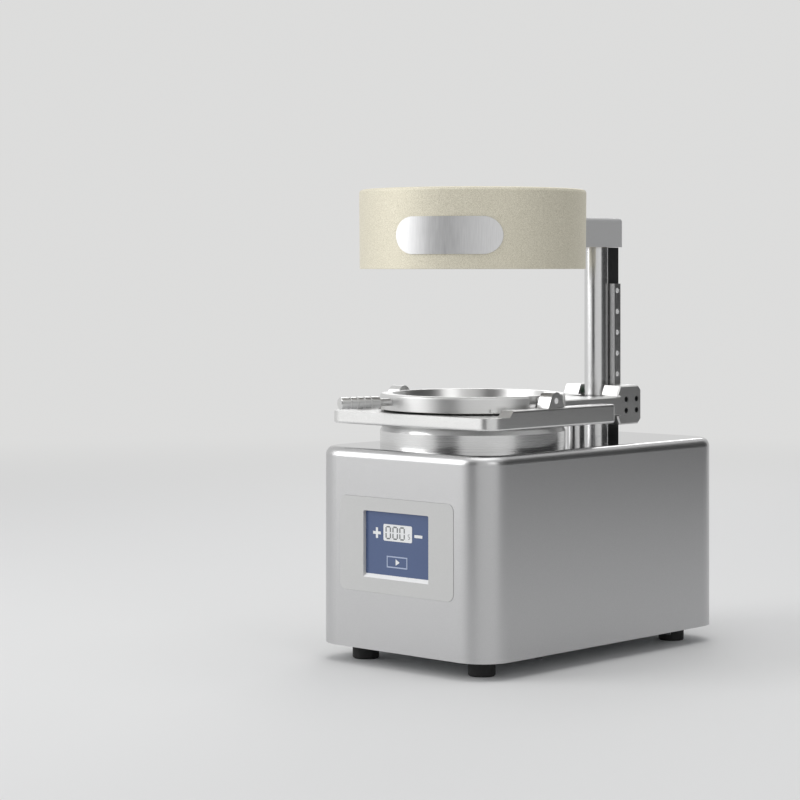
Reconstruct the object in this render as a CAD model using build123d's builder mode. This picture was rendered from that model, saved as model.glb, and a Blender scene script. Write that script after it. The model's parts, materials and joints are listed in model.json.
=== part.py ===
"""Dental vacuum forming machine: a heater on a column swings over a clamped plastic sheet,
the sheet carriage slides down over a suction pot, and a blower in the base pulls the sheet onto a model."""

from build123d import *
from math import cos, radians, sin, sqrt, tan
import os

os.makedirs("parts", exist_ok=True)

# Driving dimensions, in millimetres. Heights are above the worktop. Along Y, places are counted from
# the axis of the suction pot, with the front of the machine towards -Y.

# Housing
foot_h = 11.5
foot_r = 9.0
foot_inset = 26.0
body_w = 156.0
body_h = 132.5
body_front = 76.5
body_rear = 181.0
body_corner = 23.5
body_edge = 6.0
wall = 2.5
pad_t = 6.0
pad_half = 28.0
plate_t = 2.0
plate_gap = 0.3
boss_r = 4.5
boss_h = 18.0
boss_pitch = 140.0
press_gap = 0.1

# Control panel in the front face
bezel_side = 27.4
bezel_h = 62.7
bezel_corner = 5.0
bezel_rise = 69.6
bezel_proud = 0.3
bezel_lip = 4.0
bezel_lip_t = 2.0
window_w = 58.2
window_h = 41.8
window_rise = 71.1
window_depth = 2.5
sill_drop = 2.3
sill_depth = 2.3
panel_t = 1.6
panel_lap = 1.8
board_gap = 6.0
board_t = 1.6
board_side = 7.6
board_h = 58.0
board_hole_in = 4.0
board_screw = 1.25
display_at = (1.4, 7.8)
key_places = ((-20.0, 6.8), (23.5, 6.8), (1.0, -11.6))

# Suction pot and its raised stage
pot_r = 62.9
pot_h = 14.8
pot_shoulder_drop = 4.3
pot_shoulder_in = 1.4
pot_floor = 4.0
stage_r = 51.0
stage_under_seal = 0.6
cavity_r = 40.0
stage_plate_r = 46.0
stage_plate_t = 2.5
gasket_w = 2.4
gasket_proud = 0.4
spigot_r = 14.0
spigot_bore = 11.0
spigot_len = 16.0
pot_screw_r = 52.0
pot_screw = 2.5
pot_screw_bite = 9.0
stage_screw_r = 43.0
stage_screw = 1.25
hole_r = 1.4
hole_pitch = 6.2
hole_rows = 6
thread_gap = 0.1
m2 = 1.0
m2_head = 1.9
m3 = 1.5
m3_head = 2.75
m4 = 2.0
nut_h = 3.2

# Blower in the base
motor_r = 50.0
motor_wall = 1.5
bracket_r = 61.0
bracket_t = 2.0
isolator_h = 10.5
isolator_r = 6.5
isolator_at = 54.0
can_h = 54.0
cover_h = 26.0
can_screw_r = 30.0
shaft_r = 4.0
bearing_r = 11.0
bearing_w = 7.0
bearing_gap = 0.03
armature_r = 22.5
air_gap = 0.8
core_len = 26.0
impeller_r = 46.0
blade_count = 8
hose_t = 3.0

# Column, guide bar and linear rails
column_back = 135.4
column_r = 8.6
column_bore = 6.0
socket_h = 20.0
socket_flange = 13.0
socket_flange_t = 5.0
socket_screw_r = 17.5
bar_half = 7.6
bar_rear = 151.5
bar_top = 279.0
bar_screw_z = (166.0, 190.5, 220.5, 265.0)
post_x = 0.0
post_back = 111.6
post_r = 6.45
post_stud_r = 2.5
stop_gap = 0.2
rail_back = 144.2
rail_w = 7.0
rail_h = 4.8
rail_len = 100.0
rail_low = 153.0
rail_pitch = 15.0
rail_end = 5.0
rail_screw_count = 7
groove_r = 0.6
rail_sink = 2.3
slide_gap = 0.08

# Carriage that carries the sheet frame
block_w = 17.0
block_len = 22.5
block_body = 15.5
block_top = 8.0
block_foot = 1.5
block_z = 166.4
block_hole_y = 12.0
block_hole_z = 8.0
yoke_inner = 10.8
yoke_outer = 25.0
yoke_front = 128.0
yoke_lean = 3.0
yoke_face = 131.3
yoke_web = 135.5
yoke_back = 155.7
yoke_h = 27.7
yoke_slope_h = 6.3
yoke_corner = 3.2
yoke_bevel = 1.0
yoke_slot_gap = 0.6
block_head_sink = 2.2
arm_top = 172.6
arm_low = 159.4
arm_half = 25.0
arm_screw_x = 13.2
arm_screw_z = (-3.5, 3.5)
pad_front = 118.0
pad_step_z = 166.0
pad_clearance = 0.1
pad_screw_x = 4.6
pad_screw_back = 114.6
tongue_len = 22.0
tongue_mid = 75.0
tongue_top = 165.3
tongue_grid = (34.0, 12.0)

# Sheet frame
frame_half = 73.3
frame_front = 66.0
frame_back = 63.5
frame_corner = 11.0
frame_rear_corner = 2.5
frame_low = 159.2
sheet_z = 167.5
rail_wall_top = 172.0
rail_wall_inner = 63.1
rail_wall_start = -47.5
rail_wall_slope = 4.2
frame_edge = 1.5
frame_bore = 53.0
ear_r = 5.7
ear_lean = 24.0
pin_z = 176.6
pin_r = 2.1
pin_inner = 58.2
seal_in = 55.5
seal_out = 60.5
seal_depth = 1.0
seal_proud = 0.9

# Clamp ring and its handle
ring_r = 62.8
ring_low = 168.9
ring_top = 179.4
ring_bore_low = 52.5
ring_bore_top = 54.5
ring_edge = 1.2
ledge_z = 174.2
ledge_r = 57.7
ledge_start = -12.5
ledge_end = 26.0
slot_start = 20.0
notch_start = -38.9
notch_w = 0.9
notch_len = 5.0
notch_h = 2.5
handle_z = 174.7
handle_angle = 19.5
handle_tip = 100.7
grip_start = 71.3
grip_r = 4.05
grip_chamfer = 0.7
stud_r = 2.5
stud_root = 57.0
stud_tip = 84.0
grip_groove_pitch = 5.05
grip_groove_first = 78.3
grip_groove_w = 1.0
grip_groove_d = 0.8

# Heater and its arm
heater_r = 77.0
heater_taper = 0.4
heater_low = 263.5
heater_top = 317.0
heater_wall = 1.5
heater_edge = 2.0
arm_block_half = 13.0
arm_block_low = 279.3
arm_block_top = 300.0
arm_block_rear = 152.0
arm_block_corner = 5.0
arm_block_edge = 2.5
arm_block_front = 50.0
arm_grid = (16.0, 11.0)
wire_bore = 3.0
bush_t = 1.95
bush_gap = 0.05
column_top = 296.0
pivot_gap = 0.3
reflector_gap = 0.15
reflector_flare = 6.5
reflector_depth = 19.5
reflector_t = 1.2
insulation_step = 5.0
insulation_t = 18.0
element_r = 3.2
element_margin = 10.0
element_drop = 7.0
element_pitch = 14.0
element_turns = 3
support_share = 0.83
lead_reach = 3.0
pin_spots = ((-7.0, -2.0), (0.0, 2.0), (7.0, -2.0))
label_angle = -61.5
label_w = 71.8
label_h = 24.6
label_z = 285.4
label_t = 0.6

# Electronics in the base
power_w = 78.0
power_d = 76.0
board_lift = 6.0
board_side_gap = 19.0
trafo_w = 36.0
trafo_d = 44.0
trafo_h = 38.0
trafo_leg = 12.0
trafo_window_w = 7.0
trafo_window_h = 24.0
trafo_coil_t = 4.0
trafo_side_gap = 14.0
electronics_back = 102.0

# Rear panel
panel_rise = 36.0
inlet_side = 36.0
inlet_w = 27.0
inlet_h = 20.0
inlet_flange = 2.0
inlet_flange_t = 2.2
inlet_depth = 20.0
inlet_wall = 1.6
inlet_key = 5.0
inlet_pin_len = 22.0
switch_side = 38.0
switch_half_w = 7.5
switch_half_h = 7.0
switch_wall = 1.2
switch_flange = 1.8
switch_flange_t = 1.6
switch_depth = 14.0
rocker_gap = 0.3
rocker_pivot_in = 2.4
rocker_throw = 9.0
fuse_r = 6.0
fuse_flange_t = 1.2
fuse_cap_t = 1.6
vent_count = 9
vent_pitch = 8.0
vent_w = 3.0
vent_len = 30.0
vent_rise = 92.0

# Places that follow from the sizes above. The part stands with the middle of its outline over the
# origin, so the pot's axis lies forward of it.
rear_trim = fuse_flange_t + fuse_cap_t
front_reach = handle_tip * cos(radians(handle_angle)) + (grip_r - grip_chamfer) * sin(radians(handle_angle))
pot_y = (front_reach - body_rear - rear_trim) / 2
body_d = body_front + body_rear
body_y = pot_y + (body_rear - body_front) / 2
front_y = pot_y - body_front
rear_y = pot_y + body_rear
top_z = foot_h + body_h
floor_z = foot_h + plate_t
pad_z = top_z - wall - pad_t
column_y = pot_y + column_back
rail_y = pot_y + rail_back
pot_top = top_z + pot_h
bezel_w = body_w - 2 * bezel_side
board_w = bezel_w - 2 * board_side
board_holes = (board_w - 2 * board_hole_in, board_h - 2 * board_hole_in)
stage_top = sheet_z + seal_proud - stage_under_seal
stage_seat = stage_top - stage_plate_t
bracket_z = floor_z + isolator_h
can_z = bracket_z + bracket_t
split_z = can_z + can_h
divider_t = 2.0
cover_z = split_z + divider_t
cover_top = cover_z + cover_h
panel_z = foot_h + panel_rise
inlet_x = inlet_side - body_w / 2
switch_x = body_w / 2 - switch_side
board_z = floor_z + board_lift
power_holes = (power_w - 8.0, power_d - 8.0)
board_mid = (power_w / 2 + board_side_gap - body_w / 2, pot_y + electronics_back + 5.0)
trafo_mid = (body_w / 2 - trafo_side_gap - trafo_w / 2, pot_y + electronics_back - 4.0)
shell_low = heater_r - heater_taper
reflector_r = shell_low - heater_wall - reflector_gap
reflector_dish = reflector_r - reflector_flare
reflector_base = heater_low + reflector_depth
insulation_r = reflector_dish - insulation_step
insulation_top = reflector_base + insulation_t
element_outer = reflector_dish - element_margin
element_inner = element_outer - element_turns * element_pitch
element_z = reflector_base - element_drop
support_at = element_outer * support_share
lead_top = insulation_top + lead_reach
arm_mid = (arm_low + arm_top) / 2
arm_block_z = (arm_block_low + arm_block_top) / 2

low = (Align.CENTER, Align.CENTER, Align.MIN)
high = (Align.CENTER, Align.CENTER, Align.MAX)


def level(z):
    """Horizontal plane at a height."""
    return Plane.XY.offset(z)


def facing_front(y, x=0.0, z=0.0):
    """Upright plane at a depth, seen from the front: its normal is -Y."""
    return Plane(origin=(x, y, z), x_dir=(1, 0, 0), z_dir=(0, -1, 0))


def facing_side(x):
    """Upright plane at a width, seen from the right: its normal is +X."""
    return Plane.YZ.offset(x)


def turned(axis_y, *points):
    """Round piece about the upright axis at (0, axis_y), from its half profile of (radius, height)."""
    with BuildPart() as solid:
        with BuildSketch(facing_front(axis_y)):
            with BuildLine():
                Polyline(*points, close=True)
            make_face()
        revolve(axis=Axis((0, axis_y, 0), (0, 0, 1)))
    return solid.part


def cap_screw(shank_r, length, head_r, head_h):
    """Socket-head screw that points down, with the underside of its head at Z = 0."""
    with BuildPart() as one:
        Cylinder(head_r, head_h, align=low)
        Cylinder(shank_r, length, align=high)
        with BuildSketch(level(head_h)):
            RegularPolygon(head_r * 0.5, 6)
        extrude(amount=-head_h * 0.6, mode=Mode.SUBTRACT)
    return one.part


def sector(z, inner, outer, start, end, height):
    """Slice of a ring about the pot's axis, from one azimuth to another, standing on a height."""
    with BuildPart() as slice_of_ring:
        with BuildSketch(level(z)):
            with BuildLine():
                far = CenterArc((0, pot_y), outer, start, end - start)
                near = CenterArc((0, pot_y), inner, start, end - start)
                Line(far @ 0, near @ 0)
                Line(far @ 1, near @ 1)
            make_face()
        extrude(amount=height)
    return slice_of_ring.part


up = (180, 0, 0)
from_right = (0, 90, 0)
from_left = (0, -90, 0)
from_rear = (-90, 0, 0)
from_front = (90, 0, 0)

foot_places = [
    (x, body_y + y)
    for x in (-body_w / 2 + foot_inset, body_w / 2 - foot_inset)
    for y in (-body_d / 2 + foot_inset, body_d / 2 - foot_inset)
]
boss_x = body_w / 2 - wall - boss_r + 1.5
boss_places = [(x, body_y + y) for x in (-boss_x, boss_x) for y in (-boss_pitch / 2, boss_pitch / 2)]

# Housing shell: one deep drawn and painted box, open below, with a polished top
with BuildPart() as body_cavity:
    with BuildSketch(level(foot_h)):
        with Locations((0, body_y)):
            RectangleRounded(body_w - 2 * wall, body_d - 2 * wall, body_corner - wall)
    extrude(amount=body_h - wall)
    fillet(body_cavity.faces().sort_by(Axis.Z)[-1].edges(), body_edge - wall)

with BuildPart() as housing_shell:
    with BuildSketch(level(foot_h)):
        with Locations((0, body_y)):
            RectangleRounded(body_w, body_d, body_corner)
    extrude(amount=body_h)
    fillet(housing_shell.faces().sort_by(Axis.Z)[-1].edges(), body_edge)
    add(body_cavity.part, mode=Mode.SUBTRACT)
    with Locations((0, column_y, pad_z)):
        Box(2 * pad_half, 2 * pad_half, pad_t, align=low)
    with Locations(*[(x, y, floor_z) for x, y in boss_places]):
        Cylinder(boss_r, boss_h, align=low)
    with Locations(*[Location((x, y, floor_z), up) for x, y in boss_places]):
        Hole(m3 + thread_gap, boss_h - 4)
    with BuildSketch(facing_front(front_y)):
        with Locations((0, foot_h + bezel_rise)):
            RectangleRounded(bezel_w + 2 * press_gap, bezel_h + 2 * press_gap, bezel_corner + press_gap)
    extrude(amount=-2 * wall, mode=Mode.SUBTRACT)
    with BuildSketch(facing_front(rear_y)):
        with Locations((inlet_x, panel_z)):
            RectangleRounded(inlet_w + 2 * press_gap, inlet_h + 2 * press_gap, 1.5)
        with Locations((switch_x, panel_z)):
            Rectangle(
                2 * (switch_half_w + switch_wall + press_gap),
                2 * (switch_half_h + switch_wall + press_gap),
            )
        with Locations((0, panel_z)):
            Circle(fuse_r + press_gap)
        with Locations((0, foot_h + vent_rise)):
            with GridLocations(vent_pitch, 1, vent_count, 1):
                SlotOverall(vent_len, vent_w, rotation=90)
    extrude(amount=2 * wall, mode=Mode.SUBTRACT)
    with Locations((0, pot_y, top_z)):
        Hole(spigot_r + press_gap, 2 * wall)
    with Locations((0, pot_y, top_z)):
        with PolarLocations(pot_screw_r, 4, start_angle=45):
            Hole(2.7, 2 * wall)
    with Locations((0, column_y, top_z)):
        Hole(column_r + press_gap, wall + pad_t)
    with Locations((post_x, pot_y + post_back, top_z)):
        Hole(post_stud_r + thread_gap, wall + pad_t - 1)
    with Locations(Location((0, column_y, pad_z), up)):
        with PolarLocations(socket_screw_r, 4):
            Hole(m3 + thread_gap, pad_t - 1)

# Bottom plate with the air inlet slots
with BuildPart() as bottom_plate:
    with BuildSketch(level(foot_h)):
        with Locations((0, body_y)):
            RectangleRounded(
                body_w - 2 * wall - 2 * plate_gap, body_d - 2 * wall - 2 * plate_gap,
                body_corner - wall - plate_gap,
            )
        with Locations(*foot_places):
            Circle(m4 + 2 * thread_gap, mode=Mode.SUBTRACT)
        with Locations(*boss_places):
            Circle(m3 + 2 * thread_gap, mode=Mode.SUBTRACT)
        with Locations((0, pot_y)):
            with GridLocations(10, 1, 5, 1):
                SlotOverall(44, 4, rotation=90, mode=Mode.SUBTRACT)
            with PolarLocations(isolator_at, 3, start_angle=90):
                Circle(m4 + press_gap, mode=Mode.SUBTRACT)
        with Locations(board_mid):
            with GridLocations(*power_holes, 2, 2):
                Circle(m3 + thread_gap, mode=Mode.SUBTRACT)
    extrude(amount=plate_t)

with BuildPart() as bottom_screws:
    with Locations(*[Location((x, y, foot_h), up) for x, y in boss_places]):
        add(cap_screw(m3, plate_t + 11.0, m3_head, 2.2))

# Rubber feet, each held by a screw in its recess and a nut on the bottom plate
foot_recess = 5.0
with BuildPart() as one_foot:
    Cylinder(foot_r, foot_h, align=low)
    chamfer(one_foot.edges().group_by(Axis.Z)[0], 0.8)
    with Locations((0, 0, foot_h)):
        Hole(m4 + thread_gap, foot_h)
    Cylinder(foot_r - 4.0, foot_recess, align=low, mode=Mode.SUBTRACT)

with BuildPart() as feet:
    with Locations(*foot_places):
        add(one_foot.part)

with BuildPart() as foot_screws:
    with Locations(*[Location((x, y, foot_recess), up) for x, y in foot_places]):
        add(cap_screw(m4, foot_h - foot_recess + plate_t + 5, 2 * m4 - 0.2, 3.0))

with BuildPart() as foot_nuts:
    with BuildSketch(level(floor_z)):
        with Locations(*foot_places):
            RegularPolygon(2 * m4, 6)
            Circle(m4, mode=Mode.SUBTRACT)
    extrude(amount=nut_h)

# Suction pot: turned and polished, with a raised stage and a spigot through the housing's top
seal_r = (stage_plate_r + stage_r) / 2
with BuildPart() as pot_body:
    add(
        turned(
            pot_y,
            (spigot_bore, top_z - spigot_len),
            (spigot_r, top_z - spigot_len),
            (spigot_r, top_z),
            (pot_r, top_z),
            (pot_r, pot_top - pot_shoulder_drop),
            (pot_r - pot_shoulder_in, pot_top - 1.6),
            (pot_r - pot_shoulder_in - 1.6, pot_top),
            (stage_r, pot_top),
            (stage_r, stage_top - 0.6),
            (stage_r - 0.6, stage_top),
            (seal_r + gasket_w / 2, stage_top),
            (seal_r + gasket_w / 2, stage_top - 1.2),
            (seal_r - gasket_w / 2, stage_top - 1.2),
            (seal_r - gasket_w / 2, stage_top),
            (stage_plate_r, stage_top),
            (stage_plate_r, stage_seat),
            (cavity_r, stage_seat),
            (cavity_r, top_z + pot_floor),
            (spigot_bore, top_z + pot_floor),
        )
    )
    with Locations(Location((0, pot_y, top_z), up)):
        with PolarLocations(pot_screw_r, 4, start_angle=45):
            Hole(pot_screw + thread_gap, pot_screw_bite)
    with Locations((0, pot_y, stage_seat)):
        with PolarLocations(stage_screw_r, 4):
            Hole(stage_screw + thread_gap, 8)

with BuildPart() as stage_gasket:
    add(
        turned(
            pot_y,
            (seal_r - gasket_w / 2, stage_top - 1.2),
            (seal_r + gasket_w / 2, stage_top - 1.2),
            (seal_r + gasket_w / 2, stage_top),
            (seal_r + 0.7, stage_top + gasket_proud),
            (seal_r - 0.7, stage_top + gasket_proud),
            (seal_r - gasket_w / 2, stage_top),
        )
    )

with BuildPart() as perforated_plate:
    with Locations((0, pot_y, stage_seat)):
        Cylinder(stage_plate_r - press_gap, stage_plate_t, align=low)
    with BuildSketch(level(stage_seat)):
        with Locations((0, pot_y)):
            Circle(hole_r)
            for row in range(1, hole_rows + 1):
                with PolarLocations(row * hole_pitch, 6 * row):
                    Circle(hole_r)
    extrude(amount=stage_plate_t, mode=Mode.SUBTRACT)
    with Locations((0, pot_y, stage_top)):
        with PolarLocations(stage_screw_r, 4):
            CounterSinkHole(stage_screw + thread_gap, 2 * stage_screw, stage_plate_t, 90)

with BuildPart() as plate_screws:
    with Locations((0, pot_y, stage_top)):
        with PolarLocations(stage_screw_r, 4):
            Cylinder(stage_screw, 8, align=high)
            Cone(stage_screw, 2 * stage_screw - 0.1, stage_screw - 0.1, align=high)

with BuildPart() as pot_screws:
    with Locations(Location((0, pot_y, top_z - wall), up)):
        with PolarLocations(pot_screw_r, 4, start_angle=45):
            add(cap_screw(pot_screw, wall + pot_screw_bite - 1, 2 * pot_screw - 0.5, pot_screw))


def slab(x, y, z):
    """Plain block between pairs of limits."""
    with BuildPart() as block:
        with Locations(((x[0] + x[1]) / 2, (y[0] + y[1]) / 2, (z[0] + z[1]) / 2)):
            Box(x[1] - x[0], y[1] - y[0], z[1] - z[0])
    return block.part


def disc(z, radius, height, bore=0.0):
    """Round plate about the pot's axis that stands on a height."""
    with BuildPart() as plate:
        with BuildSketch(level(z)):
            with Locations((0, pot_y)):
                Circle(radius)
                if bore:
                    Circle(bore, mode=Mode.SUBTRACT)
        extrude(amount=height)
    return plate.part


# Hose from the pot's spigot down to the blower
neck_len = 14.0
hose_low = cover_top + 2.0
hose_high = top_z - wall - 1.5
with BuildPart() as suction_hose:
    add(disc(hose_low, spigot_r + hose_t, hose_high - hose_low, spigot_r + press_gap))

# Blower: a bracket on rubber isolators carries the motor's can, and the cover holds the impeller
with BuildPart() as motor_bracket:
    add(disc(bracket_z, bracket_r, bracket_t, 12.0))
    with Locations((0, pot_y, bracket_z + bracket_t)):
        with PolarLocations(isolator_at, 3, start_angle=90):
            Hole(m4 + thread_gap, bracket_t)
        with PolarLocations(can_screw_r, 3, start_angle=30):
            Hole(m4 + thread_gap, bracket_t)

with BuildPart() as motor_isolators:
    with Locations((0, pot_y, floor_z)):
        with PolarLocations(isolator_at, 3, start_angle=90):
            Cylinder(isolator_r, isolator_h, align=low)
            Cylinder(m4, isolator_h + bracket_t + 4.0, align=low)
            Cylinder(m4, plate_t, align=high)

with BuildPart() as isolator_nuts:
    with BuildSketch(level(bracket_z + bracket_t)):
        with Locations((0, pot_y)):
            with PolarLocations(isolator_at, 3, start_angle=90):
                RegularPolygon(2 * m4, 6)
                Circle(m4 + press_gap, mode=Mode.SUBTRACT)
    extrude(amount=nut_h)

seat_r = bearing_r + 3.0
low_bearing_z = can_z + 3.0
high_bearing_z = split_z - bearing_w
with BuildPart() as motor_can:
    add(
        turned(
            pot_y,
            (shaft_r + 3.0, can_z),
            (motor_r, can_z),
            (motor_r, split_z),
            (motor_r - motor_wall, split_z),
            (motor_r - motor_wall, can_z + motor_wall),
            (seat_r, can_z + motor_wall),
            (seat_r, low_bearing_z + bearing_w),
            (bearing_r + press_gap, low_bearing_z + bearing_w),
            (bearing_r + press_gap, low_bearing_z),
            (shaft_r + 3.0, low_bearing_z),
        )
    )
    with Locations((0, pot_y, can_z + motor_wall)):
        with PolarLocations(can_screw_r, 3, start_angle=30):
            Hole(m4 + thread_gap, motor_wall)
    with BuildSketch(level(can_z)):
        with Locations((0, pot_y)):
            with PolarLocations(39.0, 12):
                Circle(4.0)
    extrude(amount=motor_wall, mode=Mode.SUBTRACT)

with BuildPart() as motor_screws:
    with Locations((0, pot_y, can_z + motor_wall)):
        with PolarLocations(can_screw_r, 3, start_angle=30):
            add(cap_screw(m4, 8.0, 3.5, 4.0))

with BuildPart() as motor_divider:
    add(
        turned(
            pot_y,
            (shaft_r + 1.0, split_z),
            (bearing_r - 2.0, split_z),
            (bearing_r + press_gap, split_z),
            (bearing_r + press_gap, high_bearing_z),
            (seat_r, high_bearing_z),
            (seat_r, split_z),
            (motor_r, split_z),
            (motor_r, cover_z),
            (shaft_r + 1.0, cover_z),
        )
    )

with BuildPart() as blower_cover:
    add(
        turned(
            pot_y,
            (motor_r - motor_wall, cover_z),
            (motor_r, cover_z),
            (motor_r, cover_top - 3.0),
            (motor_r - 3.0, cover_top),
            (spigot_r, cover_top),
            (spigot_r, cover_top + neck_len),
            (spigot_bore, cover_top + neck_len),
            (spigot_bore, cover_top - motor_wall),
            (motor_r - 3.7, cover_top - motor_wall),
            (motor_r - motor_wall, cover_top - 3.7),
        )
    )
    with Locations((0, pot_y, cover_z + 9.0)):
        with PolarLocations(motor_r - 1.0, 3, start_angle=90):
            Box(6.0, 30.0, 8.0, mode=Mode.SUBTRACT)

core_low = can_z + 15.0
with BuildPart() as motor_stator:
    add(disc(core_low, motor_r - motor_wall - press_gap, core_len, armature_r + air_gap + 8.0))
    with Locations((0, pot_y, core_low)):
        with PolarLocations(armature_r + air_gap + 5.0, 6):
            Box(10.0, 12.0, core_len, align=low)
    add(disc(core_low, armature_r + air_gap, core_len), mode=Mode.SUBTRACT)

with BuildPart() as stator_windings:
    add(disc(core_low - 6.0, motor_r - 4.0, 5.9, motor_r - 14.0))
    add(disc(core_low + core_len + 0.1, motor_r - 4.0, 5.9, motor_r - 14.0))

with BuildPart() as motor_bearings:
    for z in (low_bearing_z, high_bearing_z):
        add(
            turned(
                pot_y,
                (shaft_r + bearing_gap, z),
                (bearing_r, z),
                (bearing_r, z + bearing_w),
                (bearing_r - 2.2, z + bearing_w),
                (bearing_r - 2.2, z + bearing_w - 0.6),
                (shaft_r + 2.2, z + bearing_w - 0.6),
                (shaft_r + 2.2, z + bearing_w),
                (shaft_r + bearing_gap, z + bearing_w),
            )
        )

hub_low = cover_z + 2.0
impeller_h = 16.0
with BuildPart() as motor_shaft:
    with Locations((0, pot_y, can_z + 2.0)):
        Cylinder(shaft_r, hub_low + impeller_h + 3.0 - can_z - 2.0, align=low)
        chamfer(motor_shaft.edges().filter_by(GeomType.CIRCLE), 0.5)

with BuildPart() as motor_armature:
    add(disc(core_low, armature_r, core_len, shaft_r))
    with Locations((0, pot_y, core_low)):
        with PolarLocations(armature_r - 1.5, 12):
            Box(5.0, 2.0, core_len, align=low, mode=Mode.SUBTRACT)

with BuildPart() as impeller:
    add(disc(hub_low, impeller_r, 1.5, shaft_r))
    add(disc(hub_low, shaft_r + 5.0, impeller_h, shaft_r))
    with Locations((0, pot_y, hub_low)):
        with PolarLocations((impeller_r + shaft_r + 6.0) / 2, blade_count):
            with Locations(Location((0, 0, 0), (0, 0, 25))):
                Box(impeller_r - shaft_r - 12.0, 1.5, impeller_h - 1.0, align=low)

# Control panel in the front face: the bezel sits in its opening from inside, with a lip behind the
# sheet; the key panel fills its pocket, and the board stands on spacers behind it
bezel_z = foot_h + bezel_rise
window_z = foot_h + window_rise
bezel_back = front_y + wall + bezel_lip_t
pocket_y = front_y - bezel_proud + window_depth
board_y = bezel_back + board_gap
with BuildPart() as control_bezel:
    with BuildSketch(facing_front(front_y + wall)):
        with Locations((0, bezel_z)):
            RectangleRounded(bezel_w + 2 * bezel_lip, bezel_h + 2 * bezel_lip, bezel_corner + bezel_lip)
    extrude(amount=-bezel_lip_t)
    with BuildSketch(facing_front(front_y - bezel_proud)):
        with Locations((0, bezel_z)):
            RectangleRounded(bezel_w, bezel_h, bezel_corner)
    extrude(amount=-(wall + bezel_proud))
    with BuildSketch(facing_front(front_y - bezel_proud)):
        with Locations((0, window_z)):
            RectangleRounded(window_w, window_h, 1.0)
    extrude(amount=-3 * wall, mode=Mode.SUBTRACT)
    with BuildSketch(facing_side(-window_w / 2)):
        with BuildLine():
            sill_y, sill_z = front_y - bezel_proud, window_z - window_h / 2
            Polyline(
                (sill_y - 1, sill_z - sill_drop),
                (sill_y, sill_z - sill_drop),
                (sill_y + sill_depth, sill_z),
                (sill_y + sill_depth, sill_z + 2),
                (sill_y - 1, sill_z + 2),
                close=True,
            )
        make_face()
    extrude(amount=window_w, mode=Mode.SUBTRACT)
    with BuildSketch(facing_front(pocket_y)):
        with Locations((0, window_z)):
            Rectangle(window_w + 2 * panel_lap, window_h + 2 * panel_lap)
    extrude(amount=-3 * wall, mode=Mode.SUBTRACT)
    with Locations(Location((0, bezel_back, window_z), from_rear)):
        with GridLocations(*board_holes, 2, 2):
            Hole(board_screw + thread_gap, 3.5)

with BuildPart() as key_panel:
    with BuildSketch(facing_front(pocket_y)):
        with Locations((0, window_z)):
            Rectangle(window_w + 2 * panel_lap - 2 * press_gap, window_h + 2 * panel_lap - 2 * press_gap)
    extrude(amount=-panel_t)

with BuildPart() as display_module:
    x, z = display_at[0], window_z + display_at[1]
    add(slab((x - 16, x + 16), (pocket_y + panel_t + press_gap, board_y), (z - 9, z + 9)))

with BuildPart() as key_switches:
    with Locations(*[Location((x, board_y, window_z + z), from_front) for x, z in key_places]):
        Box(6.0, 6.0, 3.5, align=low)
        Cylinder(1.6, board_y - pocket_y - panel_t - 0.2, align=low)

with BuildPart() as display_board:
    board_span = (window_z - board_h / 2, window_z + board_h / 2)
    add(slab((-board_w / 2, board_w / 2), (board_y, board_y + board_t), board_span))
    with Locations(Location((0, board_y + board_t, window_z), from_rear)):
        with GridLocations(*board_holes, 2, 2):
            Hole(board_screw + thread_gap, board_t)
    add(slab((-12, 12), (board_y + board_t, board_y + board_t + 7), (window_z - 24, window_z - 17)))
    add(slab((-9, 5), (board_y + board_t, board_y + board_t + 2), (window_z - 6, window_z + 8)))

with BuildPart() as board_spacers:
    with Locations(Location((0, bezel_back, window_z), from_rear)):
        with GridLocations(*board_holes, 2, 2):
            Cylinder(2 * board_screw, board_gap, align=low)
            Cylinder(board_screw + thread_gap, board_gap, align=low, mode=Mode.SUBTRACT)

with BuildPart() as board_screws:
    with Locations(Location((0, board_y + board_t, window_z), from_rear)):
        with GridLocations(*board_holes, 2, 2):
            add(cap_screw(board_screw, board_t + board_gap + 3.0, 2.3, 2.0))

# Column: a polished tube in a socket under the housing's pad
column_low = pad_z - socket_h + 3.0
with BuildPart() as column:
    with Locations((0, column_y, column_low)):
        Cylinder(column_r, column_top - column_low, align=low)
        chamfer(column.edges().filter_by(GeomType.CIRCLE), 0.5)
        Cylinder(column_bore, column_top - column_low, align=low, mode=Mode.SUBTRACT)
    for z in bar_screw_z:
        with Locations(Location((0, column_y + column_r, z), from_rear)):
            Hole(m3 + thread_gap, column_r)

with BuildPart() as column_socket:
    add(
        turned(
            column_y,
            (column_bore, pad_z - socket_h),
            (column_r + 4.0, pad_z - socket_h),
            (column_r + 4.0, pad_z - socket_flange_t),
            (column_r + socket_flange, pad_z - socket_flange_t),
            (column_r + socket_flange, pad_z),
            (column_r + press_gap, pad_z),
            (column_r + press_gap, column_low),
            (column_bore, column_low),
        )
    )
    with Locations((0, column_y, pad_z)):
        with PolarLocations(socket_screw_r, 4):
            Hole(m3 + thread_gap, socket_flange_t)

with BuildPart() as socket_screws:
    with Locations(Location((0, column_y, pad_z - socket_flange_t), up)):
        with PolarLocations(socket_screw_r, 4):
            add(cap_screw(m3, socket_flange_t + pad_t - 2, m3_head, 3.0))

# Stop post: it stands on the polished top under the rear arm
with BuildPart() as stop_post:
    with Locations((post_x, pot_y + post_back, top_z)):
        Cylinder(post_r, arm_low - stop_gap - top_z, align=low)
        chamfer(stop_post.faces().sort_by(Axis.Z)[-1].edges(), 0.6)
        Cylinder(post_stud_r, wall + pad_t - 1.5, align=high)

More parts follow.
